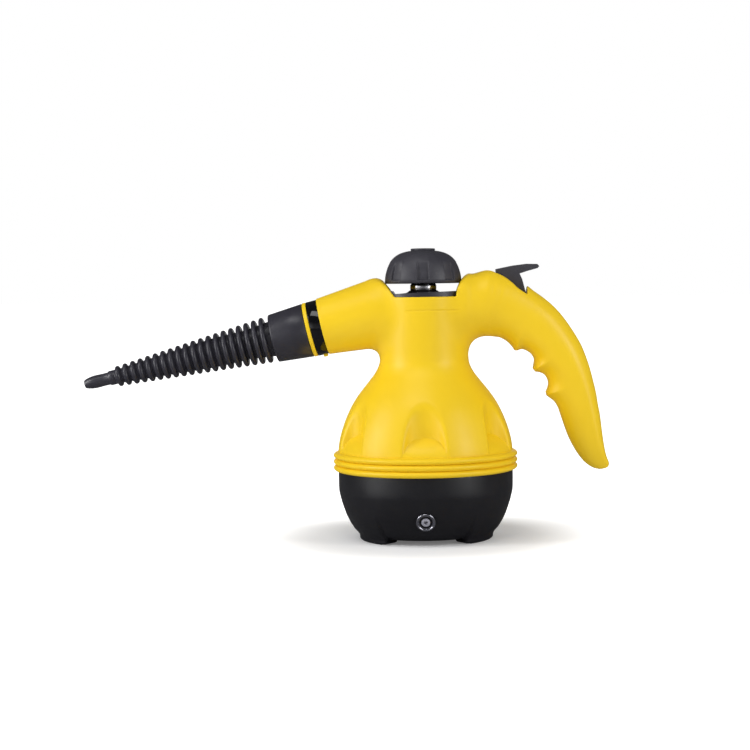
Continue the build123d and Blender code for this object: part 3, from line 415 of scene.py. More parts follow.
housing = {
    "cell": 1, "length": (-83.5, 140.5), "depth": (2.6, 68.5),
    "seamCells": [-0.3, 0.02, 0.2, 0.4, 0.7, 1.1, 1.7],
    "heights": [(48.2, 169.8, 1), (170.2, 173.8, 0.4), (174.6, 203.5, 1)],
    "wall": 2.4,
    "bell": [(46, 65.9), (60, 65.9), (66, 65.9), (70.8, 65.5), (76.9, 64.4), (82.9, 62.7),
             (89, 60.6), (95.1, 58), (101.1, 55), (107.2, 51.2), (113.2, 46.7), (119.3, 41.8),
             (125.4, 37.2), (131.4, 34.3), (137.5, 33.4), (150, 33.4), (200, 33.4)],
    "neckTop": 191, "neckBlend": 6,
    "armFront": (-75.3, 0, 161), "armAngle": 12.9, "armRadius": 21.5, "armRoot": 28.7,
    "armLength": 66, "armEnd": 92, "armLip": 0.9, "lipBlend": 0.6, "armBlend": 11,
    # a fade is how far a root sinks, and where it starts and is done
    "armFade": (14, 40, 74), "handleFade": (18, -34, 2), "handleStart": -4, "handleBlend": 15,
    "outerEdge": [(-12, 196.6), (10, 197.5), (31.3, 198.6), (37.5, 198.3), (43.8, 200.6),
                  (48.1, 201.6), (54, 201.2), (63.5, 198.2), (71.3, 194.3), (78.4, 189.5),
                  (83.8, 185.2), (93.2, 178.3), (100.9, 170.9), (107.2, 163), (113.3, 153.8),
                  (118.4, 144.8), (122.1, 135.6), (125, 126.6), (127.3, 117.4), (129.4, 108.3),
                  (130.8, 99.2), (132.2, 91.7), (134.2, 75), (135.9, 64.4), (137.4, 59),
                  (138.6, 56), (138.8, 53.3), (137.2, 51.2), (134, 50.1)],
    "innerEdges": [
        [(-12, 152), (30, 152), (46.9, 151.9), (54.3, 151.3), (58.1, 150.4), (62.7, 147.6),
         (65.8, 144.4), (68.2, 140.9)],
        [(70.2, 140.7), (73.4, 141.7), (76.7, 140.8), (80.3, 138.4), (82.3, 135.4), (82.7, 132.9),
         (82.1, 129.7), (81.7, 127)],
        [(83.7, 124.6), (87.2, 124), (90.2, 122.5), (92.2, 119.8), (93.2, 116.6), (92.9, 113.4),
         (91.3, 109.4)],
        [(91.9, 106.5), (95, 104.2), (98.1, 101.5), (100.5, 97.2), (102.1, 92.5), (105.9, 80.9),
         (108.3, 74.7), (111.3, 68.5), (114.9, 62.4), (119.6, 56.4), (124.4, 52.5), (129, 50.5),
         (134, 50.1)],
    ],
    "plainInnerEdge": [(-12, 152), (46.9, 151.9), (55.8, 150.4), (65.2, 145.7), (76, 137.5),
                       (84.9, 128.1), (91.8, 117.9), (97.2, 106.5), (102.1, 92.5), (105.9, 80.9),
                       (111.3, 68.5), (119.6, 56.4), (126.6, 51.5), (134, 50.1)],
    "scallopFade": (3, 17),
    # crest of the side: x, z and half width of the handle there
    "crease": [(-12, 173, 27), (20, 174.5, 27), (46, 176, 24.5), (60, 173, 22),
               (76, 164.5, 19.8), (91.5, 152, 18.6), (104.6, 136.4, 17.8), (113.5, 121, 17.2),
               (119, 107, 16.6), (124, 88.4, 15.2), (128.2, 73, 13.4), (131.5, 62, 10.5),
               (134, 54.5, 6.5), (134.8, 52.5, 4.5)],
    "creaseBlend": 0.34, "roundPower": 2.25, "leastWidth": 2, "leastSlope": 0.02,
    "tableLow": (-90, 38), "tableSize": (240, 180), "tableStep": 0.75,
}


def readTable(table, low, step, x, z):
    # smooth reading between the points of a table in the side plane
    shape = np.broadcast(x, z).shape
    reads = []
    for value, start, size in ((x, low[0], table.shape[0]), (z, low[1], table.shape[1])):
        u = np.broadcast_to((value - start) / step, shape)
        cell = np.clip(np.floor(u).astype(int), 1, size - 3)
        t = np.clip(u - cell, -1, 2)
        reads.append((cell, (
            ((2 - t) * t - 1) * t / 2, (t * t * (3 * t - 5) + 2) / 2,
            ((4 - 3 * t) * t + 1) * t / 2, (t - 1) * t * t / 2,
        )))
    (i, wx), (j, wz) = reads
    total = 0
    for a in range(4):
        row = 0
        for b in range(4):
            row = row + wz[b] * table[i + a - 1, j + b - 1]
        total = total + wx[a] * row
    return total


def tableGrid(low, size, step):
    x, z = (start + step * np.arange(int(length / step)) for start, length in zip(low, size))
    return x[:, None], z[None, :]


def handleTables():  # what the handle's lines say all over the side plane
    x, z = tableGrid(housing["tableLow"], housing["tableSize"], housing["tableStep"])
    outer = smoothLine(housing["outerEdge"])
    inner = np.vstack([smoothLine(run) for run in housing["innerEdges"]])
    plain = smoothLine(housing["plainInnerEdge"])
    crease = smoothLine(housing["crease"], 3)
    toOuter = -alongLine(outer, x, z)[0]
    toInner = alongLine(inner, x, z)[0]
    toPlain = alongLine(plain, x, z)[0]
    fade = stepShare(toPlain, *housing["scallopFade"])
    toInner = toInner * (1 - fade) + toPlain * fade
    cx, cz = crease[:, 0], crease[:, 1]
    spans = [alongLine(plain, cx, cz)[0], -alongLine(outer, cx, cz)[0], crease[:, 2]]
    told = alongLine(crease, x, z, np.stack(spans, 1))[1]
    innerSpan, outerSpan, halfWidth = np.moveaxis(told, -1, 0)
    across = blendMax(1 - toInner / innerSpan, 1 - toOuter / outerSpan, housing["creaseBlend"])
    return across, (innerSpan + outerSpan) / 2, halfWidth


handleTable = handleTables()
bellLine = smoothLine(housing["bell"], 12)
bellSlope = np.gradient(bellLine[:, 1], bellLine[:, 0])


def bellField(x, y, z):
    radius = np.hypot(x, y)
    wanted = np.interp(z, bellLine[:, 0], bellLine[:, 1])
    slope = np.interp(z, bellLine[:, 0], bellSlope)
    side = (radius - wanted) / np.sqrt(1 + slope * slope)
    return blendMax(side, z - housing["neckTop"], housing["neckBlend"])


def armField(x, y, z):
    turn = math.radians(housing["armAngle"])
    dx, dz = x - housing["armFront"][0], z - housing["armFront"][2]
    along = dx * math.cos(turn) + dz * math.sin(turn)  # from the front rim back
    up = dz * math.cos(turn) - dx * math.sin(turn)
    grow = (housing["armRoot"] - housing["armRadius"]) / housing["armLength"]
    side = (np.hypot(up, y) - housing["armRadius"] - grow * along) / math.sqrt(1 + grow * grow)
    side = blendMax(side, -along - housing["armLip"], housing["lipBlend"])
    depth, start, end = housing["armFade"]  # lets the root die away inside the neck
    return np.maximum(side, along - housing["armEnd"]) + depth * stepShare(along, start, end)


def handleField(x, y, z):
    low, step = housing["tableLow"], housing["tableStep"]
    across, span, width = (readTable(table, low, step, x, z) for table in handleTable)
    width = np.maximum(width, housing["leastWidth"])
    power = housing["roundPower"]
    u, v = np.maximum(across, 1e-3), np.abs(y) / width + 1e-3  # never zero, for the slope's sake
    size = (u**power + v**power) ** (1 / power)
    slope = size ** (1 - power) * np.hypot(u ** (power - 1) / span, v ** (power - 1) / width)
    side = (size - 1) / np.maximum(slope, housing["leastSlope"])
    depth, start, end = housing["handleFade"]
    return np.maximum(side, housing["handleStart"] - x) + depth * stepShare(-x, start, end)


def bodyField(x, y, z):
    body = blendMin(bellField(x, y, z), armField(x, y, z), housing["armBlend"])
    return blendMin(body, handleField(x, y, z), housing["handleBlend"])


cuts = {
    "edge": 1.2, "rimEdge": 2.4, "rimHeights": (186, 196), "deck": 182.2, "left": -21.2,
    "leftLean": 0.707, "right": 24.4, "rightLean": 0.36, "rightCurve": (0.03, 0.024),
    "pocket": 29.5, "pocketFloor": 187.4, "saddleEdge": 1,
    "notchSlope": [(40, 204), (49.5, 201.9), (55.4, 199.4), (61.2, 196.2), (66.9, 191.7),
                   (70.7, 187.9), (76.1, 184.2), (78, 182.9)],
    "notchStart": 46, "notchLip": 77.5, "lipLean": 0.1, "lipHeight": 183,
    "dimples": 6, "firstDimple": 30, "dimpleRadius": 17.2, "dimpleReach": 70.8,
    "dimpleTop": 126, "dimpleEdge": 2.6, "ledgeHeight": 80.4, "ledgeFloor": 53.6,
    "ledgeSlope": 41, "ledgeEdge": 7,
    "slot": (53.7, 78, 8.1), "slotFloor": 172, "fillerHole": 9.5, "fillerLow": 120,
    "skirt": 52.2, "skirtReach": 80,
}
# the faint moulded line across the neck, and where it fades out to the left and to the right
neckLine = {"height": 172, "depth": 0.4, "half": 0.6, "left": (-15, -10), "right": (-29, -23)}
notchLine = smoothLine(cuts["notchSlope"])
notchLean = np.gradient(notchLine[:, 1], notchLine[:, 0])


def dimpled(body, x, y, z):
    # scoops round the bell: crisp along their sides, soft where the ledge runs out into the bell
    step = 2 * math.pi / cuts["dimples"]
    angle = np.arctan2(y, x) - math.radians(cuts["firstDimple"])
    angle = angle - step * np.round(angle / step)
    radius = np.hypot(x, y)
    rx, ry = radius * np.cos(angle), radius * np.sin(angle)
    column = np.hypot(rx - cuts["dimpleReach"], ry) - cuts["dimpleRadius"]
    column = np.maximum(column, z - cuts["dimpleTop"])
    slope = math.radians(cuts["ledgeSlope"])
    rise, run = z - cuts["ledgeHeight"], rx - cuts["ledgeFloor"]
    ledge = -(rise * math.cos(slope) + run * math.sin(slope))
    sides = blendMax(body, -column, cuts["dimpleEdge"])
    return np.minimum(sides, blendMax(body, -ledge, cuts["ledgeEdge"]))


def saddleField(x, y, z):
    up, edge = z - cuts["deck"], cuts["saddleEdge"]
    left = (cuts["left"] - cuts["leftLean"] * up - x) / math.hypot(1, cuts["leftLean"])
    lean, curve = cuts["rightCurve"]
    right = x - cuts["right"] - lean * up - curve * up * np.abs(up)
    right = right / math.hypot(1, cuts["rightLean"])
    wedge = blendMax(blendMax(left, right, edge), -up, edge)
    pocket = blendMax(np.hypot(x, y) - cuts["pocket"], cuts["pocketFloor"] - z, edge)
    return blendMin(wedge, pocket, edge)


def notchField(x, y, z):
    slope = np.interp(x, notchLine[:, 0], notchLine[:, 1])
    lean = np.interp(x, notchLine[:, 0], notchLean)
    above = (slope - z) / np.sqrt(1 + lean * lean)
    lip = x - cuts["notchLip"] - cuts["lipLean"] * (z - cuts["lipHeight"])
    return np.maximum(np.maximum(above, lip), cuts["notchStart"] - x) + 0 * y


def outerField(x, y, z):
    body = dimpled(bodyField(x, y, z), x, y, z)
    groove = neckLine["depth"] * np.exp(-((z - neckLine["height"]) / neckLine["half"]) ** 2)
    body = body + groove * stepShare(x, *neckLine["left"]) * stepShare(-x, *neckLine["right"])
    edge = cuts["edge"] + cuts["rimEdge"] * stepShare(z, *cuts["rimHeights"])
    body = blendMax(body, -saddleField(x, y, z), edge)
    return blendMax(body, -notchField(x, y, z), cuts["edge"])


screws = {
    "places": [(-54, 70.5), (54, 70.5), (-46, 152.5), (26, 149), (101, 137), (122, 77)],
    "postRadius": 5, "pocketRadius": 3.3, "seat": 5.33, "seam": 0.1, "seamEdge": 0.5,
}


def shellField(side):
    def field(x, y, z):
        outer = outerField(x, y, z)
        shell = np.maximum(outer, -(outer + housing["wall"]))
        posts = farAway
        for px, pz in screws["places"]:
            away = np.hypot(x - px, z - pz)
            post = away - screws["postRadius"]
            if side > 0:
                pocket = np.maximum(away - screws["pocketRadius"], screws["seat"] - y)
                post = np.maximum(post, -pocket)
                shell = np.maximum(shell, -pocket)
            posts = np.minimum(posts, post)
        shell = np.minimum(shell, np.maximum(posts + 0 * y, outer))
        low, high, half = cuts["slot"]
        slot = np.maximum(np.abs(y) - half, cuts["slotFloor"] - z)
        slot = np.maximum(np.maximum(low - x, x - high), slot)
        radius = np.hypot(x, y)
        hole = np.maximum(radius - cuts["fillerHole"], cuts["fillerLow"] - z)
        skirt = np.minimum(cuts["skirt"] - z, cuts["skirtReach"] - radius)
        shell = np.maximum(np.maximum(shell, -slot), np.maximum(-hole, skirt))
        return blendMax(shell, screws["seam"] - side * y, screws["seamEdge"])
    return field


flange = {
    "low": 52, "ridges": 3, "pitch": 4.7, "root": 67.1, "tip": 69.55, "back": 65,
    "roundness": 1.6, "arcParts": 12, "shoulder": (66.6, 0.15), "backRise": 0.1,
    "parts": 180, "arc": (0.1, 179.9),
}


def flangeProfile():
    # rounded ridges, each a flattened half circle with a fine groove between
    parts, pitch = flange["arcParts"], flange["pitch"]
    points = [(flange["back"], flange["low"])]
    for i in range(flange["ridges"]):
        low = flange["low"] + i * pitch
        for j in range(parts + 1):
            turn = math.pi * (j / parts - 0.5)
            out = math.cos(turn) ** flange["roundness"] if j not in (0, parts) else 0.0
            points.append((flange["root"] + (flange["tip"] - flange["root"]) * out,
                           low + pitch * (0.5 + 0.5 * math.sin(turn))))
    points = [p for i, p in enumerate(points) if i == 0 or math.dist(p, points[i - 1]) > 1e-6]
    top = flange["low"] + flange["ridges"] * pitch
    radius, rise = flange["shoulder"]
    return points + [(radius, top + rise), (flange["back"], top + flange["backRise"])]


heights = np.concatenate([evenAxis(*span) for span in housing["heights"]])
for name, side in (("front", -1), ("rear", 1)):
    yAxis = np.concatenate([housing["seamCells"], evenAxis(*housing["depth"], housing["cell"])])
    arc = flange["arc"]
    if side < 0:
        yAxis = -yAxis[::-1]
        arc = (-arc[1], -arc[0])
    axes = (evenAxis(*housing["length"], housing["cell"]), yAxis, heights)
    shell = contour(shellField(side), axes)
    corners, faces = joined(shell, turnedMesh(flangeProfile(), flange["parts"], arc))
    newPiece("housing" + name.capitalize(), corners, faces, "housing", "yellow_housing", yellowAbs,
             ["housing_" + name], smoothAngle=40)
    print("housing", name, len(corners), "corners")

# Black base: bowl with three feet, soft pockets between them, and the seats of lamp and cord gland

base = {
    "cell": 1, "wall": 2.4, "floorExtra": 2, "floorTop": 8,
    "bowl": [(-20, 3.4), (0, 3.4), (30, 3.4), (46, 3.5), (50.4, 4.6), (53.8, 7.6), (55.7, 10.2),
             (57.6, 13.2), (59.1, 16.2), (60.6, 19.3), (61.7, 22.3), (62.7, 25.3), (63.7, 28.3),
             (64.5, 31.4), (65.2, 34.4), (65.7, 37.4), (65.9, 43.5), (65.9, 60)],
    "tableLow": (-4, -4), "tableSize": (85, 70), "tableStep": 0.5,
    "rim": 52, "rimEdge": 0.5, "feet": (-150, -30, 90), "footHalf": 23.5, "between": (-0.9, 1.6),
    "footOuter": 50.6, "footInner": 36, "footLow": 0.5, "footTop": 17, "footBlend": 2.2,
    "footEdge": 1.4, "recess": 2.3, "recessLow": 8, "recessTop": 25,
    "padInset": 2, "padTop": 1.6, "screwCircle": 46, "screwPocket": 3.3, "screwSeat": 16,
    "seatEdge": 0.5, "holeDepth": 9,
    "reach": 67.3, "footCells": [-0.6, 0.2, 0.8, 1.4, 2], "heights": (2.8, 53.2),
}
# round seats in the bowl's side: the lamp's in front and the cord gland's behind
seats = {
    "lamp": {"place": (0, -60.4, 19.5), "tilt": 22, "way": -1, "radius": 7.25, "depth": 0.9,
             "hole": 5.15},
    "gland": {"place": (0, 64.2, 31), "tilt": 0, "way": 1, "radius": 8.65, "depth": 1,
              "hole": 6.15},
}
bowlGrid = tableGrid(base["tableLow"], base["tableSize"], base["tableStep"])
bowlTable = -alongLine(smoothLine(base["bowl"], 5), *bowlGrid)[0]


def seated(body, x, y, z, seat):  # cuts a seat and its hole square to the bowl's side
    turn = math.radians(seat["tilt"])
    dx, dy, dz = (value - start for value, start in zip((x, y, z), seat["place"]))
    out = seat["way"] * dy * math.cos(turn) - dz * math.sin(turn)
    away = np.sqrt(np.maximum(dx * dx + dy * dy + dz * dz - out * out, 0))
    recess = np.maximum(away - seat["radius"], -seat["depth"] - out)
    body = blendMax(body, -recess, base["seatEdge"])
    return np.maximum(body, -np.maximum(away - seat["hole"], -base["holeDepth"] - out))


def baseField(x, y, z):
    radius = np.hypot(x, y)
    angle = np.degrees(np.arctan2(y, x))
    off = np.full(np.broadcast(radius, z).shape, 180.0)
    for foot in base["feet"]:
        off = np.minimum(off, np.abs((angle - foot + 180) % 360 - 180))
    between = stepShare(off, *(base["footHalf"] + reach for reach in base["between"]))
    recess = base["recess"] * between * stepShare(-z, -base["recessTop"], -base["recessLow"])
    body = readTable(bowlTable, base["tableLow"], base["tableStep"], radius + recess, z)
    sides = radius * np.sin(np.radians(np.minimum(off - base["footHalf"], 90)))
    ring = blendMax(radius - base["footOuter"], base["footInner"] - radius, base["footEdge"])
    foot = blendMax(ring, sides, base["footEdge"])
    foot = blendMax(foot, base["footLow"] - z, base["footEdge"])
    foot = np.maximum(foot, z - base["footTop"])
    outer = blendMin(body, foot, base["footBlend"])
    extra = base["floorExtra"] * (z < base["floorTop"])
    shell = np.maximum(outer, -(outer + base["wall"] + extra))
    inset = base["padInset"]
    pad = np.maximum(radius - base["footOuter"] + inset, base["footInner"] + inset - radius)
    pad = np.maximum(pad, z - base["padTop"])
    shell = np.maximum(shell, -np.maximum(pad, sides + inset))
    for foot in base["feet"]:
        turn = math.radians(foot)
        post = np.hypot(x - base["screwCircle"] * math.cos(turn),
                        y - base["screwCircle"] * math.sin(turn))
        pocket = np.maximum(post - base["screwPocket"], z - base["screwSeat"])
        shell = np.maximum(shell, -pocket)
    for seat in seats.values():
        shell = seated(shell, x, y, z, seat)
    return blendMax(shell, z - base["rim"], base["rimEdge"])


sideways = evenAxis(-base["reach"], base["reach"], base["cell"])
heights = np.concatenate([base["footCells"], evenAxis(*base["heights"], base["cell"])])
newPiece("baseBowl", *contour(baseField, (sideways, sideways, heights)), "housing", "black_base",
         blackAbs, ["base_bowl"], smoothAngle=35)

# Lamp in its seat: silvered ring, dark well, and a lens with a small eye in its middle. Each point
# is a radius and a height from the seat.

lamp = {
    "parts": 64,
    "ring": [(4.9, -0.8), (7, -0.8), (7.1, -0.6), (7.1, 0.7), (6.9, 1.1), (6.5, 1.3), (6, 1.2),
             (5.6, 0.8), (5.4, 0.3), (4.9, 0.2)],
    "well": [(3.4, -4.9), (4.9, -4.9), (4.9, 0.1), (4.6, 0.3), (3.9, 0.35), (3.4, 0.2)],
    "lens": [(0, -1.6), (1.1, -1.5), (1.25, 0.7), (1.5, 1.2), (1.9, 1.5), (2.6, 1.4), (3.1, 1),
             (3.3, 0.5), (3.3, -4.9), (0, -4.9)],
}


def onBowl(mesh):  # from its own axis to its tilted seat
    corners, faces = mesh
    tilt = math.radians(seats["lamp"]["tilt"])
    turned = np.array([[-1, 0, 0], [0, math.sin(tilt), -math.cos(tilt)],
                       [0, -math.cos(tilt), -math.sin(tilt)]])
    return corners @ turned + np.array(seats["lamp"]["place"]), faces


ring, well = (onBowl(turnedMesh(lamp[name], lamp["parts"])) for name in ("ring", "well"))
lens = onBowl(turnedSolid(lamp["lens"], lamp["parts"]))
newPiece("lampRing", *ring, "housing", "bezel", silvering, ["indicator_bezel"])
newPiece("lampWell", *well, "housing", "bezel", glossBlack)
newPiece("lampLens", *lens, "housing", "lens", frosted, ["indicator_lens"])
print("base done")

# Filler cap: domed shell with eight fading flutes, and its dished button

cap = {
    "side": [(28.1, 192.3), (28.6, 192.8), (29.05, 194.4), (29.05, 196), (28.6, 199),
             (27.8, 202), (26.7, 205), (25.2, 208), (23.2, 210.6), (20.8, 212.8),
             (18, 214.5), (15.2, 215.6), (12, 216.4), (9, 216.8), (6, 216.9)],
    "wall": 2.4, "insideTop": [(16, 212), (9, 214.2), (6, 214.4)],
    "flutes": 8, "fluteHalf": (8.2, 9.8), "fluteDepth": 1.8, "fluteLow": (194.2, 195.2),
    "fluteTop": (201, 209.5),
    # degrees from the middle of a flute, closer where its side turns
    "sector": [0, 3, 6, 7.4, 8, 8.4, 8.8, 9.2, 9.6, 10, 10.8, 12.5, 15, 18.5],
    "button": [(0, 217.9), (4.2, 217.8), (5.6, 217.5), (6.6, 217.6), (7.4, 218.2), (8.2, 218.5),
               (8.9, 218.4), (9.2, 218), (9.2, 217.2), (8.8, 216.6), (8.7, 215.4), (0, 215.4)],
    "buttonParts": 96,
}
step = 360 / cap["flutes"]
sector = np.array([-a for a in cap["sector"][:0:-1]] + cap["sector"] + [step / 2])
capAngles = np.radians(np.concatenate([sector + step * k - 90 for k in range(cap["flutes"])]))
outside = smoothLine(cap["side"])
inside = np.array([(r - cap["wall"], z) for r, z in cap["side"][1:9]] + cap["insideTop"])
capLoop = np.vstack([outside, inside[::-1]])
z = outside[:, 1]
low, high = stepShare(z, *cap["fluteLow"]), 1 - stepShare(z, *cap["fluteTop"])
rings = []
for angle in capAngles:
    off = abs((math.degrees(angle) + 90 + step / 2) % step - step / 2)
    sink = 1 - stepShare(off, *cap["fluteHalf"])
    loop = capLoop.copy()
    loop[:len(outside), 0] -= cap["fluteDepth"] * (sink * low * high)
    rings.append(turnedLoop(loop, angle))
faces = stitched(len(capLoop), len(capAngles), len(capAngles))
newPiece("capShell", np.vstack(rings), faces, "cap", "grey_cap", greyNylon, ["cap_shell"])
button = turnedSolid(cap["button"], cap["buttonParts"])
newPiece("capButton", *button, "cap", "grey_cap", greyNylon, ["cap_button"])
print("cap done")

# Nozzle: smooth collar, 20 rounded ribs on a straight then tapering core, and the outlet tip

nozzle = {
    "parts": 96, "tipParts": 64,
    "collar": [(14.4, 12.4), (19.9, 12.4), (20.4, 12.9), (19.4, 25), (18.25, 38.4), (18, 39.1),
               (17.3, 39.4), (11, 39.4)],
    "ribs": 20, "pitch": 6, "first": 45.2, "big": 17.5, "small": 7.9, "thickness": 3.5,
    "foot": 0.6, "footOut": 1, "footRise": 0.45, "topRound": 1.1, "arcParts": 5,
    "core": [(39.4, 11), (82, 11), (161.4, 5)],
    "end": [(4.9, 161.4), (3.3, 161.4), (3.3, 120), (14.4, 32)],
    "tip": [(5.3, 161.5), (5.5, 162), (5.5, 166.2), (5.1, 166.8), (4.75, 167.4), (4.7, 172),
            (4.85, 175.5), (4.85, 178), (4.5, 181), (3.9, 183.6), (3.25, 185.4),
            (2.8, 185.95), (2.3, 186.05), (1.9, 185.8), (1.7, 185), (1.7, 165), (2.4, 161.5)],
}
turn = math.radians(housing["armAngle"])
nozzleTurn = np.array([[-math.sin(turn), 0, math.cos(turn)], [0, 1, 0],
                       [-math.cos(turn), 0, -math.sin(turn)]])


def onNozzle(mesh):  # from its own axis to its place on the arm
    corners, faces = mesh
    return corners @ nozzleTurn + np.array(housing["armFront"]), faces


def ribProfile(middle, radius):  # up one side of a rib and down the other
    half, foot, out = nozzle["thickness"] / 2, nozzle["foot"], nozzle["footOut"]
    bend = half * nozzle["topRound"]
    core = list(zip(*nozzle["core"]))
    side = [(np.interp(middle - half * u, *core) + v, middle - half * u)
            for u, v in ((out + foot, 0), (out + foot / 4, nozzle["footRise"]))]
    for k in range(nozzle["arcParts"] + 1):
        t = math.pi / 2 * k / nozzle["arcParts"]
        side.append((radius - bend + bend * math.sin(t), middle - half * math.cos(t)))
    return side + [(r, 2 * middle - z) for r, z in side[::-1][1:]]


profile = list(nozzle["collar"])
for i in range(nozzle["ribs"]):
    share = i / (nozzle["ribs"] - 1)
    profile += ribProfile(nozzle["first"] + i * nozzle["pitch"],
                          nozzle["big"] + share * (nozzle["small"] - nozzle["big"]))
cone = onNozzle(turnedMesh(profile + nozzle["end"], nozzle["parts"]))
tip = onNozzle(turnedMesh(nozzle["tip"], nozzle["tipParts"]))
newPiece("nozzleCone", *cone, "nozzle", "black_nozzle", blackPolypropylene, ["nozzle_cone"])
newPiece("nozzleTip", *tip, "nozzle", "black_nozzle", blackPolypropylene, ["nozzle_tip"])
print("nozzle done")

# Deck plate below the cap, with its flare round the neck

deck = {
    "cell": 0.7, "low": 182.2, "top": 186.8, "left": -20.9, "leftLean": 0.707, "right": 24.1,
    "rightLean": 0.37, "plate": (184.6, 186.3), "lip": 1, "edge": 0.5, "reach": 33.1, "hole": 9.4,
    "flare": [(9, 187.4), (10.6, 186.9), (11.6, 186), (13.2, 185.2), (15.5, 184.7),
              (18, 184.4), (21, 184.2)],
    "flareBlend": 0.8, "length": (-25.5, 28), "width": (-34.2, 34.2), "heights": (181.6, 188),
    "fineCell": 0.4,
}


def deckField(x, y, z):
    radius = np.hypot(x, y)
    up = z - deck["low"]
    edge = deck["left"] - deck["leftLean"] * up
    left = (edge - x) / math.hypot(1, deck["leftLean"])
    right = x - deck["right"] - deck["rightLean"] * up
    plate = z - np.interp(x, (deck["left"], deck["right"]), deck["plate"])
    lip = np.maximum(z - deck["top"], x - edge - deck["lip"])
    body = blendMax(np.maximum(left, right), np.minimum(plate, lip), deck["edge"])
    flare = z - np.interp(radius, *zip(*deck["flare"]))
    flare = np.maximum(flare, radius - deck["flare"][-1][0])
    body = blendMin(body, flare, deck["flareBlend"])
    body = np.maximum(np.maximum(body, radius - deck["reach"]), -up)
    return np.maximum(body, deck["hole"] - radius)


axes = (evenAxis(*deck["length"], deck["cell"]), evenAxis(*deck["width"], deck["cell"]),
        evenAxis(*deck["heights"], deck["fineCell"]))
newPiece("deckCollar", *contour(deckField, axes), "housing", "black_nozzle", blackPolypropylene,
         ["deck_collar"], smoothAngle=40)
print("deck done")

# Rounded bright bead of the filler neck, between deck and cap

neckBead = {
    "parts": 96,
    "side": [(9.3, 187), (9.65, 187.15), (9.8, 187.6), (9.89, 188.4), (9.92, 189.4),
             (9.89, 190.4), (9.78, 191.2), (9.3, 191.6)],
}
bead = turnedMesh(neckBead["side"], neckBead["parts"])
newPiece("neckBead", *bead, "housing", "neck_metal", plating, smoothAngle=60)
print("neck bead done")


breaking = {"weld": 0.00001, "parts": 2, "angle": 30}


def dressNode(name, material, edge):
    # a CAD node whose shape is right keeps it, its sharp edges broken as tool or mould leaves them
    node = cadNodes[name]
    node.data.materials.clear()
    node.data.materials.append(material)
    weld = node.modifiers.new("weld", "WELD")
    weld.merge_threshold = breaking["weld"]
    if edge:
        bevel = node.modifiers.new("edge", "BEVEL")
        bevel.width = edge * millimetre
        bevel.segments = breaking["parts"]
        bevel.limit_method = "ANGLE"
        bevel.angle_limit = math.radians(breaking["angle"])


# Each CAD node that stays: its material, and how far its edges are broken in millimetres
dressing = {
    "foot_pads": (rubber, 0.4), "cord_gland": (rubber, 0.3), "cap_seal": (rubber, None),
    "boiler_gasket": (rubber, None), "spout_seal": (rubber, None),
    "housing_screws": (zincSteel, 0.15), "base_screws": (zincSteel, 0.15),
    "boiler_bolts": (zincSteel, 0.2), "trigger_pin": (zincSteel, 0.2),
    "cap_spring": (zincSteel, None), "trigger_spring": (zincSteel, None),
    "valve_spring": (zincSteel, None), "boiler_bracket": (zincSteel, 0.2),
    "boiler_cup": (aluminium, 0.5), "boiler_lid": (aluminium, 0.5),
    "heating_element": (aluminium, None), "insulation_sleeve": (wovenGlassFibre, None),
    "valve_body": (brass, 0.2), "valve_plunger": (brass, 0.2), "thermostat": (brass, 0.2),
    "thermal_fuse": (brass, 0.2), "spout_tube": (brass, 0.2), "inlet_pipe": (copper, None),
    "outlet_pipe": (copper, None), "filler_neck": (plating, 0.25), "trigger": (greyNylon, 0.5),
    "cap_plug": (greyNylon, 0.3), "terminal_block": (blackPolypropylene, 0.3),
    "spout_band": (glossBlack, 0.4), "nozzle_ring": (yellowAbs, 0.3),
    "nozzle_catch": (yellowAbs, 0.4),
}
for name, node in cadNodes.items():
    if not node.hide_render:  # a node that a piece stands for is hidden
        dressNode(name, *dressing[name])
print("CAD nodes dressed:", len(dressing))


# Camera and light

camera = {"place": (0.010, -1.25, 0.1841), "middle": -0.03735, "pitch": -2.798, "roll": -0.762,
          "sensor": 36, "pixels": 750, "millimetresPerPixel": 0.7549}
frameWidth = camera["pixels"] * camera["millimetresPerPixel"] * millimetre
cameraData = bpy.data.cameras.new("camera")
cameraData.sensor_width = camera["sensor"]
cameraData.lens = camera["sensor"] * -camera["place"][1] / frameWidth
# the object stands right of the middle
cameraData.shift_x = (camera["middle"] - camera["place"][0]) / frameWidth
cameraObject = bpy.data.objects.new("camera", cameraData)
sceneCollection.objects.link(cameraObject)
cameraObject.matrix_world = (
    Matrix.Translation(camera["place"])
    @ Matrix.Rotation(math.radians(90 + camera["pitch"]), 4, "X")
    @ Matrix.Rotation(math.radians(camera["roll"]), 4, "Z")
)
bpy.context.scene.camera = cameraObject

# Two tall soft boxes beside the camera and a wide one overhead; places in metres, powers in watts
softBoxes = {
    "key": {"place": (-1.05, -0.42, 0.50), "size": (0.30, 0.82), "power": 7.3,
            "aim": (0, 0, 0.30)},
    "fill": {"place": (0.94, -0.66, 0.50), "size": (0.28, 0.82), "power": 5.2,
             "aim": (0, 0, 0.30)},
    "top": {"place": (-0.25, -0.62, 1.32), "size": (0.8, 0.5), "power": 4, "aim": (0, 0, 0.12)},
}
for name, box in softBoxes.items():
    data = bpy.data.lights.new(name, "AREA")
    data.shape = "RECTANGLE"
    data.size, data.size_y = box["size"]
    data.energy = box["power"]
    item = bpy.data.objects.new(name, data)
    sceneCollection.objects.link(item)
    item.location = box["place"]
    towards = Vector(box["aim"]) - Vector(box["place"])
    item.rotation_euler = towards.to_track_quat("-Z", "Y").to_euler()

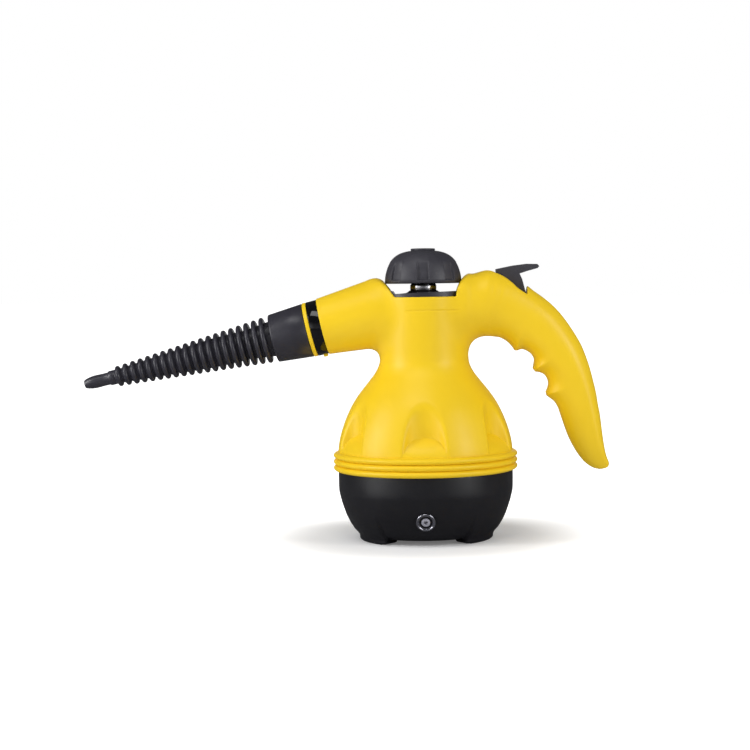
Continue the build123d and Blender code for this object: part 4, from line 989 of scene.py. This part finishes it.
# White paper straight behind the object and an even ambient light. Glossy skins mirror that paper
# where they face it, and elsewhere a dim room with a low lit strip at the camera's height, brighter
# towards the lamps. A row says at which share of a ray's direction its light starts and is full,
# and how bright it is at both, or 0 and 1 where that isn't said.
studio = {
    "ambient": 0.40, "room": 0.05, "low": (0.40, 0.10), "front": (-0.1, -0.4),
    "left": (-0.25, -0.7, 0.25, 1.8), "right": (0.25, 0.7, 0, 1), "paper": (0.93, 0.99),
}
world = bpy.data.worlds.new("studio")
bpy.context.scene.world = world
world.use_nodes = True
tree = world.node_tree
tree.nodes.clear()
shown, glossy = cameraRays(tree)
sky = addNode(tree, "TexCoord").outputs["Generated"]
way = addNode(tree, "SeparateXYZ", {}, {0: sky}).outputs
height = addNode(tree, "Math", {}, {0: way["Z"]}, operation="ABSOLUTE")
low, front, left, right, paper = (
    addNode(tree, "MapRange", dict(zip(rangeSockets, studio[name])), {"Value": source})
    for name, source in (("low", height), ("front", way["Y"]), ("left", way["X"]),
                         ("right", way["X"]), ("paper", way["Y"])))
strip = addNode(tree, "Math", {}, {0: left, 1: right}, operation="ADD")
for share in (low, front):
    strip = addNode(tree, "Math", {}, {0: strip, 1: share}, operation="MULTIPLY")
room = addNode(tree, "Math", {1: studio["room"]}, {0: strip}, operation="ADD")
mirrored = addNode(tree, "Math", {}, {0: glossy, 1: paper}, operation="MULTIPLY")
shown = addNode(tree, "Math", {}, {0: shown, 1: mirrored}, operation="MAXIMUM")
around = addNode(tree, "MapRange", {"To Min": studio["ambient"]}, {"Value": glossy, "To Max": room})
strength = addNode(tree, "Math", {}, {0: shown, 1: around}, operation="MAXIMUM")
seen = addNode(tree, "Background", {"Color": (1, 1, 1, 1)}, {"Strength": strength})
addNode(tree, "OutputWorld", {}, {"Surface": seen})

# The floor is white paper that turns into the backdrop: its white is lifted to the camera, less
# near the object, where the lamps light it, so that the object's shadow stays. Glossy skins see it
# greyer: a painted shade that darkens its reflections. Distances are in metres; lift says where it
# starts and is full, and how strong it is at both.
paperFloor = {
    "half": 40, "front": -4, "back": 60, "rough": 0.8, "ior": 1.5, "colour": "#F4F4F4",
    "mirrored": "#6E6E70", "lift": (0.075, 0.18, 0.13, 1),
}
half, front, back = (paperFloor[name] for name in ("half", "front", "back"))
corners = [(-half, front, 0), (half, front, 0), (half, back, 0), (-half, back, 0)]
floorMesh = bpy.data.meshes.new("floor")
floorMesh.from_pydata(corners, [], [(0, 1, 2, 3)])
floorMaterial, tree, shader = newMaterial("matteWhitePaper", paperFloor["rough"], paperFloor["ior"])
shader.inputs["Specular IOR Level"].default_value = 0
shown, glossy = cameraRays(tree)
# the tone that glossy rays see is a painted shade, greying the floor in reflections
tones = {colourA: linearColour(paperFloor["colour"]), colourB: linearColour(paperFloor["mirrored"])}
tone = addNode(tree, "Mix", tones, {0: glossy}, data_type="RGBA")
tree.links.new(tone.outputs[mixed], shader.inputs["Base Color"])
spot = {0: addNode(tree, "TexCoord").outputs["Object"]}
away = addNode(tree, "VectorMath", {}, spot, operation="LENGTH").outputs["Value"]
far = addNode(tree, "MapRange", dict(zip(rangeSockets, paperFloor["lift"])), {"Value": away},
              interpolation_type="SMOOTHSTEP")
lift = addNode(tree, "Math", {}, {0: shown, 1: far}, operation="MULTIPLY")
glow = addNode(tree, "Emission", {}, {"Strength": lift})
both = addNode(tree, "AddShader", {}, {0: shader, 1: glow})
tree.links.new(both.outputs[0], tree.nodes["Material Output"].inputs["Surface"])
floorMesh.materials.append(floorMaterial)
floor = bpy.data.objects.new("floor", floorMesh)
sceneCollection.objects.link(floor)

bpy.context.scene.view_settings.view_transform = "Standard"
